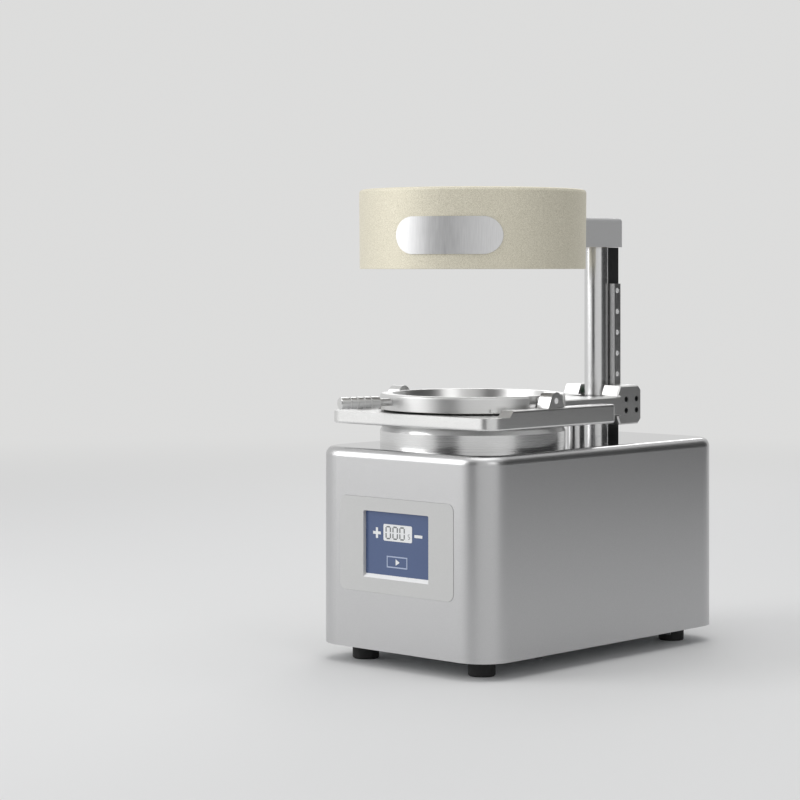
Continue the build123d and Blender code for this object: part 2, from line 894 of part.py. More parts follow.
# Guide bar: it hugs the column from behind and carries a rail on each side
bar_front = column_y + 2.1
with BuildPart() as guide_bar:
    with BuildSketch(level(top_z)):
        with Locations((0, (bar_front + pot_y + bar_rear) / 2)):
            Rectangle(2 * bar_half, pot_y + bar_rear - bar_front)
        with Locations((0, column_y)):
            Circle(column_r + bush_gap, mode=Mode.SUBTRACT)
    extrude(amount=bar_top - top_z)
    for z in bar_screw_z:
        with Locations(Location((0, pot_y + bar_rear, z), from_rear)):
            CounterBoreHole(m3 + thread_gap, m3_head + 0.2, 3.2, bar_rear - column_back)
    for side in (-1, 1):
        for step in range(rail_screw_count):
            turn = from_right if side > 0 else from_left
            at = rail_low + rail_end + step * rail_pitch
            with Locations(Location((side * bar_half, rail_y, at), turn)):
                Hole(m2 + thread_gap, 3.5)

with BuildPart() as bar_screws:
    for z in bar_screw_z:
        with Locations(Location((0, pot_y + bar_rear - 3.2, z), from_rear)):
            add(cap_screw(m3, bar_rear - 3.2 - column_back - column_bore, m3_head, 3.0))


def guide_rail(side):
    """Linear rail on one flank of the bar: a ball groove each side and counterbored screw holes."""
    inner = side * bar_half
    outer = side * (bar_half + rail_h)
    groove = side * (bar_half + rail_h - 1.7)
    turn = from_right if side > 0 else from_left
    with BuildPart() as rail:
        with BuildSketch(level(rail_low)):
            with Locations(((inner + outer) / 2, rail_y)):
                Rectangle(rail_h, rail_w)
            with Locations((groove, rail_y - rail_w / 2), (groove, rail_y + rail_w / 2)):
                Circle(groove_r, mode=Mode.SUBTRACT)
        extrude(amount=rail_len)
        for step in range(rail_screw_count):
            with Locations(Location((outer, rail_y, rail_low + rail_end + step * rail_pitch), turn)):
                CounterBoreHole(m2 + 0.2, m2_head + 0.2, rail_sink, rail_h)
    return rail.part


with BuildPart() as rail_right:
    add(guide_rail(1))

with BuildPart() as rail_left:
    add(guide_rail(-1))

with BuildPart() as rail_screws:
    for side in (-1, 1):
        for step in range(rail_screw_count):
            turn = from_right if side > 0 else from_left
            seat = side * (bar_half + rail_h - rail_sink)
            with Locations(Location((seat, rail_y, rail_low + rail_end + step * rail_pitch), turn)):
                add(cap_screw(m2, 5.5, m2_head, m2_head))


def guide_block(side):
    """Block that runs on one rail, with the tapped holes for the yoke on its outer face."""
    foot = side * (bar_half + block_foot)
    outer = side * (bar_half + block_top)
    roof = side * (bar_half + rail_h + slide_gap)
    turn = from_right if side > 0 else from_left
    with BuildPart() as block:
        with BuildSketch(level(block_z - block_body / 2)):
            with Locations(((foot + outer) / 2, rail_y)):
                Rectangle(block_top - block_foot, block_w)
            with Locations(((foot + roof) / 2, rail_y)):
                Rectangle(abs(roof - foot), rail_w + 2 * slide_gap, mode=Mode.SUBTRACT)
        extrude(amount=block_body)
        chamfer(block.edges().filter_by(Axis.Z).group_by(Axis.X)[-1 if side > 0 else 0], 0.4)
        with Locations(Location((outer, rail_y, block_z), turn)):
            with GridLocations(block_hole_z, block_hole_y, 2, 2):
                Hole(m2 + thread_gap, 2.9)
    return block.part


with BuildPart() as guide_block_right:
    add(guide_block(1))

with BuildPart() as guide_block_left:
    add(guide_block(-1))

cap_len = (block_len - block_body) / 2
with BuildPart() as block_caps:
    for side in (-1, 1):
        foot = side * (bar_half + block_foot)
        outer = side * (bar_half + block_top - 0.3)
        roof = side * (bar_half + rail_h + 2 * slide_gap)
        for z in (block_z - block_len / 2, block_z + block_body / 2):
            with BuildSketch(level(z)):
                with Locations(((foot + outer) / 2, rail_y)):
                    Rectangle(block_top - block_foot - 0.3, block_w - 0.6)
                with Locations(((foot + roof) / 2, rail_y)):
                    Rectangle(abs(roof - foot), rail_w + 4 * slide_gap, mode=Mode.SUBTRACT)
            extrude(amount=cap_len)


def yoke(side):
    """Bracket between one guide block and the rear arm: a side plate with a web in front of the block."""
    web = (pot_y + yoke_front, pot_y + yoke_web)
    slot_h = arm_top - arm_low + 2 * yoke_slot_gap
    slope = (yoke_h / 2 - yoke_slope_h, yoke_h / 2)
    with BuildPart() as bracket:
        with BuildSketch(facing_side(yoke_inner)):
            with BuildLine():
                Polyline(
                    (web[0], block_z - slope[0]),
                    (web[0] + yoke_lean, block_z - slope[1]),
                    (pot_y + yoke_back, block_z - slope[1]),
                    (pot_y + yoke_back, block_z + slope[1]),
                    (web[0] + yoke_lean, block_z + slope[1]),
                    (web[0], block_z + slope[0]),
                    close=True,
                )
            make_face()
        extrude(amount=yoke_outer - yoke_inner)
        chamfer(bracket.edges().filter_by(Axis.X).group_by(Axis.Y)[-1], yoke_corner)
        chamfer(bracket.faces().sort_by(Axis.X)[-1].edges(), yoke_bevel)
        inner = bar_half + block_top
        add(
            slab((0, inner), (web[1], pot_y + 2 * yoke_back), (0, 2 * block_z)),
            mode=Mode.SUBTRACT,
        )
        add(
            slab(
                (0, 2 * yoke_outer),
                (0, pot_y + yoke_face),
                (arm_mid - slot_h / 2, arm_mid + slot_h / 2),
            ),
            mode=Mode.SUBTRACT,
        )
        with Locations(Location((yoke_outer, rail_y, block_z), from_right)):
            with GridLocations(block_hole_z, block_hole_y, 2, 2):
                CounterBoreHole(m2 + 0.15, m2_head + 0.2, block_head_sink, yoke_outer - inner)
        with Locations(*[Location((arm_screw_x, web[1], arm_mid + z), from_rear) for z in arm_screw_z]):
            CounterBoreHole(m2 + 0.15, m2_head + 0.2, 2.1, 2 * wall)
    if side > 0:
        return bracket.part
    return mirror(bracket.part, about=Plane.YZ)


with BuildPart() as yoke_right:
    add(yoke(1))

with BuildPart() as yoke_left:
    add(yoke(-1))

with BuildPart() as block_screws:
    for side in (-1, 1):
        turn = from_right if side > 0 else from_left
        with Locations(Location((side * (yoke_outer - block_head_sink), rail_y, block_z), turn)):
            with GridLocations(block_hole_z, block_hole_y, 2, 2):
                add(cap_screw(m2, yoke_outer - block_head_sink - bar_half - block_top + 2.4, m2_head, m2_head))

with BuildPart() as yoke_screws:
    for side in (-1, 1):
        for z in arm_screw_z:
            with Locations(Location((side * arm_screw_x, pot_y + yoke_web - 2.1, arm_mid + z), from_rear)):
                add(cap_screw(m2, 8.5, m2_head, m2_head))

# Rear arm: it laps over the frame's tongue, straddles the column and ends in the yokes' slots
arm_front = frame_back + 0.3
tongue_back = frame_back + tongue_len
pad_reach = column_back - column_r - 0.1
with BuildPart() as rear_arm:
    add(slab((-arm_half, arm_half), (pot_y + arm_front, pot_y + yoke_face), (arm_low, arm_top)))
    chamfer(rear_arm.edges().filter_by(Axis.Y), 0.8)
    add(
        slab((-arm_half, arm_half), (pot_y + arm_front, pot_y + tongue_back + 0.3), (arm_low, tongue_top)),
        mode=Mode.SUBTRACT,
    )
    add(
        slab((-yoke_inner, yoke_inner), (pot_y + pad_front, pot_y + yoke_face), (arm_low, arm_top)),
        mode=Mode.SUBTRACT,
    )
    add(
        slab((-yoke_inner, yoke_inner), (pot_y + pad_front - 6, pot_y + pad_front), (arm_low, pad_step_z)),
        mode=Mode.SUBTRACT,
    )
    with Locations(*[(x, pot_y + pad_screw_back, arm_top) for x in (-pad_screw_x, pad_screw_x)]):
        CounterBoreHole(m3 + thread_gap, m3_head + 0.2, 3.0, arm_top - pad_step_z)
    with Locations(Location((0, pot_y + tongue_mid, tongue_top), up)):
        with GridLocations(*tongue_grid, 2, 2):
            Hole(m3 + thread_gap, 5.5)
    for side in (-1, 1):
        for z in arm_screw_z:
            with Locations(Location((side * arm_screw_x, pot_y + yoke_face, arm_mid + z), from_rear)):
                Hole(m2 + thread_gap, 7.5)

# Slide pad of black plastic: it keeps the arm centred on the column
with BuildPart() as slide_pad:
    add(
        slab(
            (-yoke_inner + press_gap, yoke_inner - press_gap),
            (pot_y + pad_front - 6 + press_gap, pot_y + pad_reach),
            (arm_low, pad_step_z),
        )
    )
    add(
        slab(
            (-yoke_inner + press_gap, yoke_inner - press_gap),
            (pot_y + pad_front + press_gap, pot_y + pad_reach),
            (pad_step_z, arm_top - 0.2),
        )
    )
    with Locations((0, column_y, arm_low)):
        Cylinder(column_r + pad_clearance, 20, align=low, mode=Mode.SUBTRACT)
    with Locations(*[(x, pot_y + pad_screw_back, pad_step_z) for x in (-pad_screw_x, pad_screw_x)]):
        Hole(m3 + thread_gap, 5.5)

with BuildPart() as pad_screws:
    with Locations(*[(x, pot_y + pad_screw_back, arm_top - 3.0) for x in (-pad_screw_x, pad_screw_x)]):
        add(cap_screw(m3, arm_top - 3.0 - pad_step_z + 5.0, m3_head, 2.6))

# Sheet frame: a flat seat for the plastic sheet with side walls, ears for the pins and a tongue behind
seal_z = sheet_z - seal_depth
with BuildPart() as lower_frame:
    with BuildSketch(level(frame_low)):
        with BuildLine():
            left, right = -frame_half, frame_half
            front, back = pot_y - frame_front, pot_y + frame_back
            FilletPolyline(
                (right, 0), (right, front), (left, front), (left, 0), radius=frame_corner
            )
            FilletPolyline(
                (left, 0), (left, back), (right, back), (right, 0), radius=frame_rear_corner
            )
        make_face()
    extrude(amount=rail_wall_top - frame_low)
    fillet(lower_frame.faces().sort_by(Axis.Z)[0].edges(), frame_edge)
    fillet(lower_frame.faces().sort_by(Axis.Z)[-1].edges(), frame_edge)
    add(
        slab((-rail_wall_inner, rail_wall_inner), (2 * front, -front), (sheet_z, rail_wall_top)),
        mode=Mode.SUBTRACT,
    )
    with BuildSketch(facing_side(-frame_half)):
        with BuildLine():
            Polyline(
                (front, sheet_z),
                (pot_y + rail_wall_start, sheet_z),
                (pot_y + rail_wall_start + rail_wall_slope, rail_wall_top),
                (front, rail_wall_top),
                close=True,
            )
        make_face()
    extrude(amount=2 * frame_half, mode=Mode.SUBTRACT)
    for side in (-1, 1):
        with BuildSketch(facing_side(side * rail_wall_inner)):
            with BuildLine():
                lean = radians(ear_lean)
                y_arc, z_arc = ear_r * cos(lean), pin_z + ear_r * sin(lean)
                y_foot = y_arc + (z_arc - rail_wall_top) * tan(lean)
                Line((pot_y - y_foot, rail_wall_top), (pot_y - y_arc, z_arc))
                ThreePointArc((pot_y - y_arc, z_arc), (pot_y, pin_z + ear_r), (pot_y + y_arc, z_arc))
                Line((pot_y + y_arc, z_arc), (pot_y + y_foot, rail_wall_top))
                Line((pot_y + y_foot, rail_wall_top), (pot_y - y_foot, rail_wall_top))
            make_face()
        extrude(amount=side * (frame_half - rail_wall_inner))
        with Locations(Location((side * frame_half, pot_y, pin_z), from_right if side > 0 else from_left)):
            Hole(pin_r + press_gap / 2, frame_half - rail_wall_inner)
    add(
        slab((-arm_half + 0.1, arm_half - 0.1), (back - 3, pot_y + tongue_back), (frame_low + 0.2, tongue_top))
    )
    add(disc(frame_low, frame_bore, rail_wall_top - frame_low), mode=Mode.SUBTRACT)
    add(disc(seal_z, seal_out, 2 * seal_depth, seal_in), mode=Mode.SUBTRACT)
    with Locations(Location((0, pot_y + tongue_mid, frame_low + 0.2), up)):
        with GridLocations(*tongue_grid, 2, 2):
            CounterBoreHole(m3 + thread_gap, m3_head + 0.2, 3.0, tongue_top - frame_low)

with BuildPart() as arm_screws:
    with Locations(Location((0, pot_y + tongue_mid, frame_low + 3.2), up)):
        with GridLocations(*tongue_grid, 2, 2):
            add(cap_screw(m3, tongue_top - frame_low - 3.2 + 5.0, m3_head, 2.6))

with BuildPart() as frame_gasket:
    middle = (seal_in + seal_out) / 2
    add(
        turned(
            pot_y,
            (seal_in + 0.1, seal_z),
            (seal_out - 0.1, seal_z),
            (seal_out - 0.1, sheet_z + seal_proud - 0.4),
            (middle + 1.4, sheet_z + seal_proud),
            (middle - 1.4, sheet_z + seal_proud),
            (seal_in + 0.1, sheet_z + seal_proud - 0.4),
        )
    )

with BuildPart() as clamp_pins:
    for side in (-1, 1):
        with Locations(Location((side * pin_inner, pot_y, pin_z), from_right if side > 0 else from_left)):
            Cylinder(pin_r, frame_half - pin_inner, align=low)
            chamfer(clamp_pins.faces().sort_by(Axis.X)[-1 if side > 0 else 0].edges(), 0.3)

# Clamp ring: half a turn apart it has two ledges under the pins, each with a slot at its end
handle_at = -90.0 - handle_angle
with BuildPart() as clamp_ring:
    add(
        turned(
            pot_y,
            (ring_bore_low, ring_low),
            (ring_r - 0.3, ring_low),
            (ring_r, ring_low + 0.3),
            (ring_r, ring_top - ring_edge),
            (ring_r - 0.35 * ring_edge, ring_top - 0.35 * ring_edge),
            (ring_r - ring_edge, ring_top),
            (ring_bore_top, ring_top),
        )
    )
    for half in (0, 180):
        add(
            sector(ledge_z, ledge_r, ring_r + 2, ledge_start + half, ledge_end + half, ring_top - ledge_z),
            mode=Mode.SUBTRACT,
        )
        add(
            sector(ring_low, ledge_r, ring_r + 2, slot_start + half, ledge_end + half, ring_top - ring_low),
            mode=Mode.SUBTRACT,
        )
    for start, height in ((notch_start, notch_h), (notch_start + notch_w, notch_h / 4)):
        width = notch_w if height == notch_h else notch_len
        add(
            sector(ring_low, ring_r - 3.0, ring_r + 2, start, start + width, height),
            mode=Mode.SUBTRACT,
        )
    with Locations(Location((0, pot_y, handle_z), (0, 0, handle_at))):
        with Locations(Location((stud_root, 0, 0), from_right)):
            Cylinder(stud_r + thread_gap, 2 * ring_edge + 6.0, align=low, mode=Mode.SUBTRACT)

with BuildPart() as handle_stud:
    with Locations(Location((0, pot_y, handle_z), (0, 0, handle_at))):
        with Locations(Location((stud_root, 0, 0), from_right)):
            Cylinder(stud_r, stud_tip - stud_root, align=low)

with BuildPart() as grip:
    with BuildSketch(Plane.XZ):
        with BuildLine():
            Polyline(
                (grip_start, stud_r + press_gap),
                (grip_start, grip_r - grip_chamfer),
                (grip_start + grip_chamfer, grip_r),
                (handle_tip - grip_chamfer, grip_r),
                (handle_tip, grip_r - grip_chamfer),
                (handle_tip, 0),
                (stud_tip + press_gap, 0),
                (stud_tip + press_gap, stud_r + press_gap),
                close=True,
            )
        make_face()
        for step in range(4):
            with Locations((grip_groove_first + step * grip_groove_pitch, grip_r)):
                Rectangle(grip_groove_w, 2 * grip_groove_d, mode=Mode.SUBTRACT)
    revolve(axis=Axis.X)

with BuildPart() as handle_grip:
    with Locations(Location((0, pot_y, handle_z), (0, 0, handle_at))):
        add(grip.part)

# Heater: a spun shell with a reflector and a spiral element that looks down on the sheet
with BuildPart() as heater_shell:
    add(
        turned(
            pot_y,
            (shell_low, heater_low),
            (heater_r, heater_top - heater_edge),
            (heater_r - 0.3 * heater_edge, heater_top - 0.3 * heater_edge),
            (heater_r - heater_edge, heater_top),
            (0, heater_top),
            (0, heater_top - heater_wall),
            (heater_r - heater_edge - 0.4, heater_top - heater_wall),
            (heater_r - heater_wall, heater_top - heater_edge - 0.4),
            (shell_low - heater_wall, heater_low),
        )
    )
    with Locations(Location((0, pot_y + heater_r, arm_block_z), from_rear)):
        with GridLocations(*arm_grid, 2, 2):
            Hole(m3 + thread_gap, heater_r / 2)
        Hole(wire_bore, heater_r / 2)

with BuildPart() as heater_reflector:
    add(
        turned(
            pot_y,
            (0, reflector_base),
            (reflector_dish, reflector_base),
            (reflector_r, heater_low + 2.0),
            (reflector_r - reflector_t, heater_low + 2.0),
            (reflector_dish - reflector_t, reflector_base - reflector_t),
            (0, reflector_base - reflector_t),
        )
    )
    with Locations((0, pot_y, reflector_base)):
        with PolarLocations(support_at, 3, start_angle=30):
            Hole(m3 + thread_gap, reflector_t)
        with Locations((element_outer, 0), (element_inner, 0)):
            Hole(element_r + 0.6, reflector_t)

with BuildPart() as heater_insulation:
    add(disc(reflector_base, insulation_r, insulation_t))
    with Locations((0, pot_y, insulation_top)):
        with PolarLocations(support_at, 3, start_angle=30):
            Hole(m3 + thread_gap, insulation_t)
        with Locations((element_outer, 0), (element_inner, 0)):
            Hole(element_r + 0.6, insulation_t)

# Heating element: half circles whose radius shrinks by half a pitch each half turn, with two leads up
with BuildPart() as heating_element:
    with BuildLine() as spiral:
        near_x = element_outer
        for step in range(2 * element_turns):
            radius = element_outer - element_pitch / 4 - step * element_pitch / 2
            toward = -1 if step % 2 == 0 else 1
            far_x = near_x + 2 * toward * radius
            ThreePointArc(
                (near_x, pot_y, element_z),
                ((near_x + far_x) / 2, pot_y - toward * radius, element_z),
                (far_x, pot_y, element_z),
            )
            near_x = far_x
    with BuildSketch(Plane(origin=(element_outer, pot_y, element_z), z_dir=(0, 1, 0))):
        Circle(element_r)
    sweep(path=spiral.wires()[0])
    for x in (element_outer, element_inner):
        with Locations((x, pot_y, element_z)):
            Sphere(element_r)
            Cylinder(element_r, lead_top - element_z, align=low)

with BuildPart() as element_supports:
    with Locations((0, pot_y, element_z + element_r)):
        with PolarLocations(support_at, 3, start_angle=30):
            Cylinder(1.4, lead_top - element_z - element_r, align=low)

# Heater arm: a solid block from the shell back over the column, bored for its bush
bush_r = column_r + bush_gap + bush_t
bore_top = column_top + pivot_gap + 1.4
with BuildPart() as heater_arm:
    with BuildSketch(level(arm_block_low)):
        with Locations((0, pot_y + (arm_block_front + arm_block_rear) / 2)):
            RectangleRounded(2 * arm_block_half, arm_block_rear - arm_block_front, arm_block_corner)
    extrude(amount=arm_block_top - arm_block_low)
    fillet(heater_arm.faces().sort_by(Axis.Z)[-1].edges(), arm_block_edge)
    add(
        turned(
            pot_y, (0, heater_low), (shell_low, heater_low), (heater_r, heater_top - heater_edge),
            (heater_r, heater_top), (0, heater_top),
        ),
        mode=Mode.SUBTRACT,
    )
    with Locations((0, column_y, arm_block_low)):
        Cylinder(bush_r + press_gap, bore_top - arm_block_low, align=low, mode=Mode.SUBTRACT)
    with Locations(Location((0, pot_y + shell_low - 1, arm_block_z), from_front)):
        Hole(wire_bore, column_back - shell_low)
    with Locations(Location((0, pot_y + shell_low - 1, arm_block_z), from_front)):
        with GridLocations(*arm_grid, 2, 2):
            Hole(m3 + thread_gap, 14.0)

with BuildPart() as arm_bush:
    add(
        turned(
            column_y,
            (column_r + bush_gap, arm_block_low),
            (bush_r, arm_block_low),
            (bush_r, bore_top),
            (column_bore, bore_top),
            (column_bore, column_top + pivot_gap),
            (column_r + bush_gap, column_top + pivot_gap),
        )
    )

with BuildPart() as heater_arm_screws:
    inside = sqrt((shell_low - heater_wall) ** 2 - (arm_grid[0] / 2 + m3_head) ** 2) - 0.1
    with Locations(Location((0, pot_y + inside, arm_block_z), from_front)):
        with GridLocations(*arm_grid, 2, 2):
            add(cap_screw(m3, 11.0, m3_head, 3.0))

# Bare pill-shaped plate on the heater's flank, bent to its curve
with BuildPart() as heater_label:
    outward = (cos(radians(label_angle)), sin(radians(label_angle)), 0)
    with BuildSketch(Plane(origin=(0, pot_y, label_z), x_dir=(-outward[1], outward[0], 0), z_dir=outward)):
        SlotOverall(label_w, label_h)
    extrude(amount=2 * heater_r)
    add(disc(heater_low, heater_r + label_t, heater_top - heater_low, heater_r), mode=Mode.INTERSECT)

# Rear panel: inlet socket, power switch and fuse
with BuildPart() as inlet_socket:
    with BuildSketch(facing_front(rear_y)):
        with Locations((inlet_x, panel_z)):
            RectangleRounded(inlet_w + 2 * inlet_flange, inlet_h + 2 * inlet_flange, 2.5)
    extrude(amount=-inlet_flange_t)
    with BuildSketch(facing_front(rear_y)):
        with Locations((inlet_x, panel_z)):
            RectangleRounded(inlet_w, inlet_h, 1.5)
    extrude(amount=inlet_depth + 2 * inlet_wall)
    with BuildSketch(facing_front(rear_y + inlet_flange_t, inlet_x, panel_z)):
        with BuildLine():
            half_w, half_h = inlet_w / 2 - inlet_wall, inlet_h / 2 - inlet_wall
            Polyline(
                (-half_w, -half_h),
                (half_w, -half_h),
                (half_w, half_h - inlet_key),
                (half_w - inlet_key, half_h),
                (-half_w + inlet_key, half_h),
                (-half_w, half_h - inlet_key),
                close=True,
            )
        make_face()
    extrude(amount=inlet_flange_t + inlet_depth, mode=Mode.SUBTRACT)
    with Locations(*[(inlet_x + x, rear_y - inlet_depth, panel_z + z) for x, z in pin_spots]):
        Box(2.0 + 2 * press_gap, 4 * inlet_wall + 2.0, 4.0 + 2 * press_gap, mode=Mode.SUBTRACT)

with BuildPart() as one_pin:
    Box(2.0, inlet_pin_len, 4.0)
    chamfer(one_pin.faces().sort_by(Axis.Y)[-1].edges(), 0.5)

with BuildPart() as inlet_pins:
    for x, z in pin_spots:
        with Locations((inlet_x + x, rear_y - inlet_depth + 5.0, panel_z + z)):
            add(one_pin.part)

pivot_y = rear_y + switch_flange_t - rocker_pivot_in - 2.0
frame_w = switch_half_w + switch_wall
frame_h = switch_half_h + switch_wall
with BuildPart() as switch_frame:
    with BuildSketch(facing_front(rear_y)):
        with Locations((switch_x, panel_z)):
            RectangleRounded(2 * (frame_w + switch_flange), 2 * (frame_h + switch_flange), 1.5)
    extrude(amount=-switch_flange_t)
    with BuildSketch(facing_front(rear_y)):
        with Locations((switch_x, panel_z)):
            Rectangle(2 * frame_w, 2 * frame_h)
    extrude(amount=switch_depth + switch_wall)
    with BuildSketch(facing_front(rear_y + switch_flange_t)):
        with Locations((switch_x, panel_z)):
            Rectangle(2 * switch_half_w, 2 * switch_half_h)
    extrude(amount=switch_flange_t + switch_depth, mode=Mode.SUBTRACT)
    with Locations(Location((switch_x, pivot_y, panel_z), from_right)):
        Cylinder(1.2 + bush_gap, 2 * switch_half_w + 1.8, mode=Mode.SUBTRACT)
    back_y = rear_y - switch_depth - switch_wall
    with Locations(*[(switch_x, back_y - 4, panel_z + z) for z in (-5, 0, 5)]):
        Box(4.8, 8.0, 0.8)

# Rocker: a shallow V in front of its pivot, shown with its lower half pressed
with BuildPart() as rocker:
    with BuildSketch(Plane.YZ):
        with BuildLine():
            Polyline(
                (3.6, -6.1), (2.5, 0), (3.6, 6.1), (2.6, 6.3), (-2.0, 5.6), (-4.4, 3.2), (-5.4, 0),
                (-4.4, -3.2), (-2.0, -5.6), (2.6, -6.3), close=True,
            )
        make_face()
    extrude(amount=switch_half_w - rocker_gap, both=True)
    with Locations(Location((0, 0, 0), from_right)):
        Cylinder(1.2, 2 * switch_half_w + 1.4)

with BuildPart() as power_rocker:
    with Locations(Location((switch_x, pivot_y, panel_z), (-rocker_throw, 0, 0))):
        add(rocker.part)

with BuildPart() as fuse_holder:
    with Locations(Location((0, rear_y, panel_z), from_rear)):
        Cylinder(fuse_r + 2.0, fuse_flange_t, align=low)
        Cylinder(fuse_r, 24.0, align=high)
        with Locations((0, 0, fuse_flange_t)):
            Cylinder(fuse_r - 1.2, 12.0, align=high, mode=Mode.SUBTRACT)

with BuildPart() as fuse_cap:
    with Locations(Location((0, rear_y + fuse_flange_t, panel_z), from_rear)):
        Cylinder(fuse_r - 1.3, 11.0, align=high)
        Cylinder(fuse_r, fuse_cap_t, align=low)
        with Locations((0, 0, fuse_cap_t)):
            Box(8.0, 1.4, 2.0, mode=Mode.SUBTRACT)

# Power board and transformer on the bottom plate, behind the blower
with BuildPart() as power_board:
    with Locations((*board_mid, board_z)):
        Box(power_w, power_d, board_t, align=low)
        with GridLocations(*power_holes, 2, 2):
            Hole(m3 + thread_gap, 2 * board_t)
    with Locations((*board_mid, board_z + board_t)):
        with Locations((-22, -20), (0, -20)):
            Box(16.0, 20.0, 15.0, align=low)
        with Locations((-24, 18)):
            Cylinder(8.0, 24.0, align=low)
        with Locations((10, 22)):
            Box(30.0, 10.0, 12.0, align=low)
        with Locations((24, -16)):
            Box(6.0, 24.0, 22.0, align=low)
        with Locations((-4, 4)):
            Box(10.0, 8.0, 3.0, align=low)

with BuildPart() as power_spacers:
    with Locations((*board_mid, floor_z)):
        with GridLocations(*power_holes, 2, 2):
            Cylinder(2 * m3, board_lift, align=low)
            Cylinder(m3 + thread_gap, board_lift, align=low, mode=Mode.SUBTRACT)

with BuildPart() as power_screws:
    with Locations((*board_mid, board_z + board_t)):
        with GridLocations(*power_holes, 2, 2):
            add(cap_screw(m3, board_t + board_lift + plate_t - 0.2, m3_head, 2.4))

trafo_x, trafo_y = trafo_mid
core_mid_z = floor_z + trafo_h / 2
with BuildPart() as transformer_core:
    with Locations((trafo_x, trafo_y, core_mid_z)):
        Box(trafo_w, trafo_d, trafo_h)
        with GridLocations(trafo_leg + trafo_window_w, 1, 2, 1):
            Box(trafo_window_w, 2 * trafo_d, trafo_window_h, mode=Mode.SUBTRACT)

with BuildPart() as transformer_coil:
    with Locations((trafo_x, trafo_y, core_mid_z)):
        Box(
            trafo_leg + 2 * trafo_window_w - 2 * press_gap,
            trafo_d + 2 * trafo_coil_t,
            trafo_window_h - 4 * press_gap,
        )
        Box(trafo_leg + 4 * press_gap, trafo_d + 4 * press_gap, trafo_h, mode=Mode.SUBTRACT)


def together(*pieces):
    """Several like pieces of one body in one named node."""
    with BuildPart() as group:
        for piece in pieces:
            add(piece.part)
    return group


nodes = {
    "housing_shell": housing_shell,
    "bottom_plate": bottom_plate,
    "feet": feet,
    "base_screws": together(
        bottom_screws, foot_screws, socket_screws, power_screws, motor_screws, board_screws
    ),
    "base_nuts": together(foot_nuts, isolator_nuts),
    "pot_body": pot_body,
    "stage_gasket": stage_gasket,
    "perforated_plate": perforated_plate,
    "pot_screws": together(plate_screws, pot_screws),
    "suction_hose": suction_hose,
    "motor_bracket": motor_bracket,
    "motor_isolators": motor_isolators,
    "motor_can": motor_can,
    "motor_divider": motor_divider,
    "blower_cover": blower_cover,
    "motor_stator": together(motor_stator, stator_windings),
    "motor_bearings": motor_bearings,
    "motor_rotor": together(motor_shaft, motor_armature),
    "impeller": impeller,
    "control_bezel": control_bezel,
    "key_panel": key_panel,
    "display_board": together(display_board, display_module, key_switches),
    "board_spacers": together(board_spacers, power_spacers),
    "column": column,
    "column_socket": column_socket,
    "stop_post": stop_post,
    "guide_bar": guide_bar,
    "bar_screws": bar_screws,
    "rail_right": rail_right,
    "rail_left": rail_left,
    "rail_screws": rail_screws,
    "guide_block_right": guide_block_right,
    "guide_block_left": guide_block_left,
    "block_caps": block_caps,
    "yoke_right": yoke_right,
    "yoke_left": yoke_left,
    "rear_arm": rear_arm,
    "slide_pad": slide_pad,
    "carriage_screws": together(arm_screws, pad_screws, block_screws, yoke_screws),
    "lower_frame": lower_frame,
    "frame_gasket": frame_gasket,
    "clamp_pins": clamp_pins,
    "clamp_ring": clamp_ring,
    "handle_stud": handle_stud,
    "handle_grip": handle_grip,
    "heater_shell": heater_shell,
    "heater_reflector": heater_reflector,
    "heater_insulation": heater_insulation,
    "heating_element": heating_element,
    "heater_screws": together(element_supports, heater_arm_screws),
    "heater_arm": heater_arm,
    "arm_bush": arm_bush,
    "heater_label": heater_label,
    "inlet_socket": inlet_socket,
    "inlet_pins": inlet_pins,
    "switch_frame": switch_frame,
    "power_rocker": power_rocker,
    "fuse_holder": together(fuse_holder, fuse_cap),
    "power_board": power_board,
    "transformer": together(transformer_core, transformer_coil),
}
for name, node in nodes.items():
    node.part.label = name
    export_step(node.part, f"parts/{name}.step")
print(len(nodes), "nodes")
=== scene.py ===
# %% [markdown]
# # A dental vacuum forming machine
# The machine softens a thin plastic sheet under a swinging heater, and a blower in its base draws the
# sheet down over a dental model. Its pieces could all be modelled here by hand, but they come from CAD at
# their real size, because a machine has to fit and move. That leaves this lesson the finishes: satin
# metal, mirror polish, sand-textured paint, rubber, and a small printed display.

# %% The frame
import bpy
import json
from math import pi, radians
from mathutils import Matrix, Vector


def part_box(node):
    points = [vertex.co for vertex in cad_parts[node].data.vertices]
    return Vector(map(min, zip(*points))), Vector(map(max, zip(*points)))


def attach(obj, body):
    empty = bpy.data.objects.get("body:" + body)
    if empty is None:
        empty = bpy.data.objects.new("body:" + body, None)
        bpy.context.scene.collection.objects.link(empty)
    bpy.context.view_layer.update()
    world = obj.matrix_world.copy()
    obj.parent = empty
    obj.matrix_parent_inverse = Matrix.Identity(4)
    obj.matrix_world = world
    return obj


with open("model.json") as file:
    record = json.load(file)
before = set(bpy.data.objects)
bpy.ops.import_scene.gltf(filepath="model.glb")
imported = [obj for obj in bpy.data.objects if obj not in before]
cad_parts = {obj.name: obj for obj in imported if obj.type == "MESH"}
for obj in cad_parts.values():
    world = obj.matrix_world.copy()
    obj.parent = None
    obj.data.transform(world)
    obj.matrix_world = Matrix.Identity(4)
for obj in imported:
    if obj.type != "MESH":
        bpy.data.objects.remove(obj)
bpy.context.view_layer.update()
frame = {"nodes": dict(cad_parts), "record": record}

# %% [markdown]
# ## Places that the finishes need
# A finish often depends on where a face lies. The housing's top is polished and its sides are satin, and
# the pot is turned on a lathe, so its fine rings run round its own axis. The places could be typed in as
# numbers. They are read from the CAD boxes, so they stay right when a size changes.

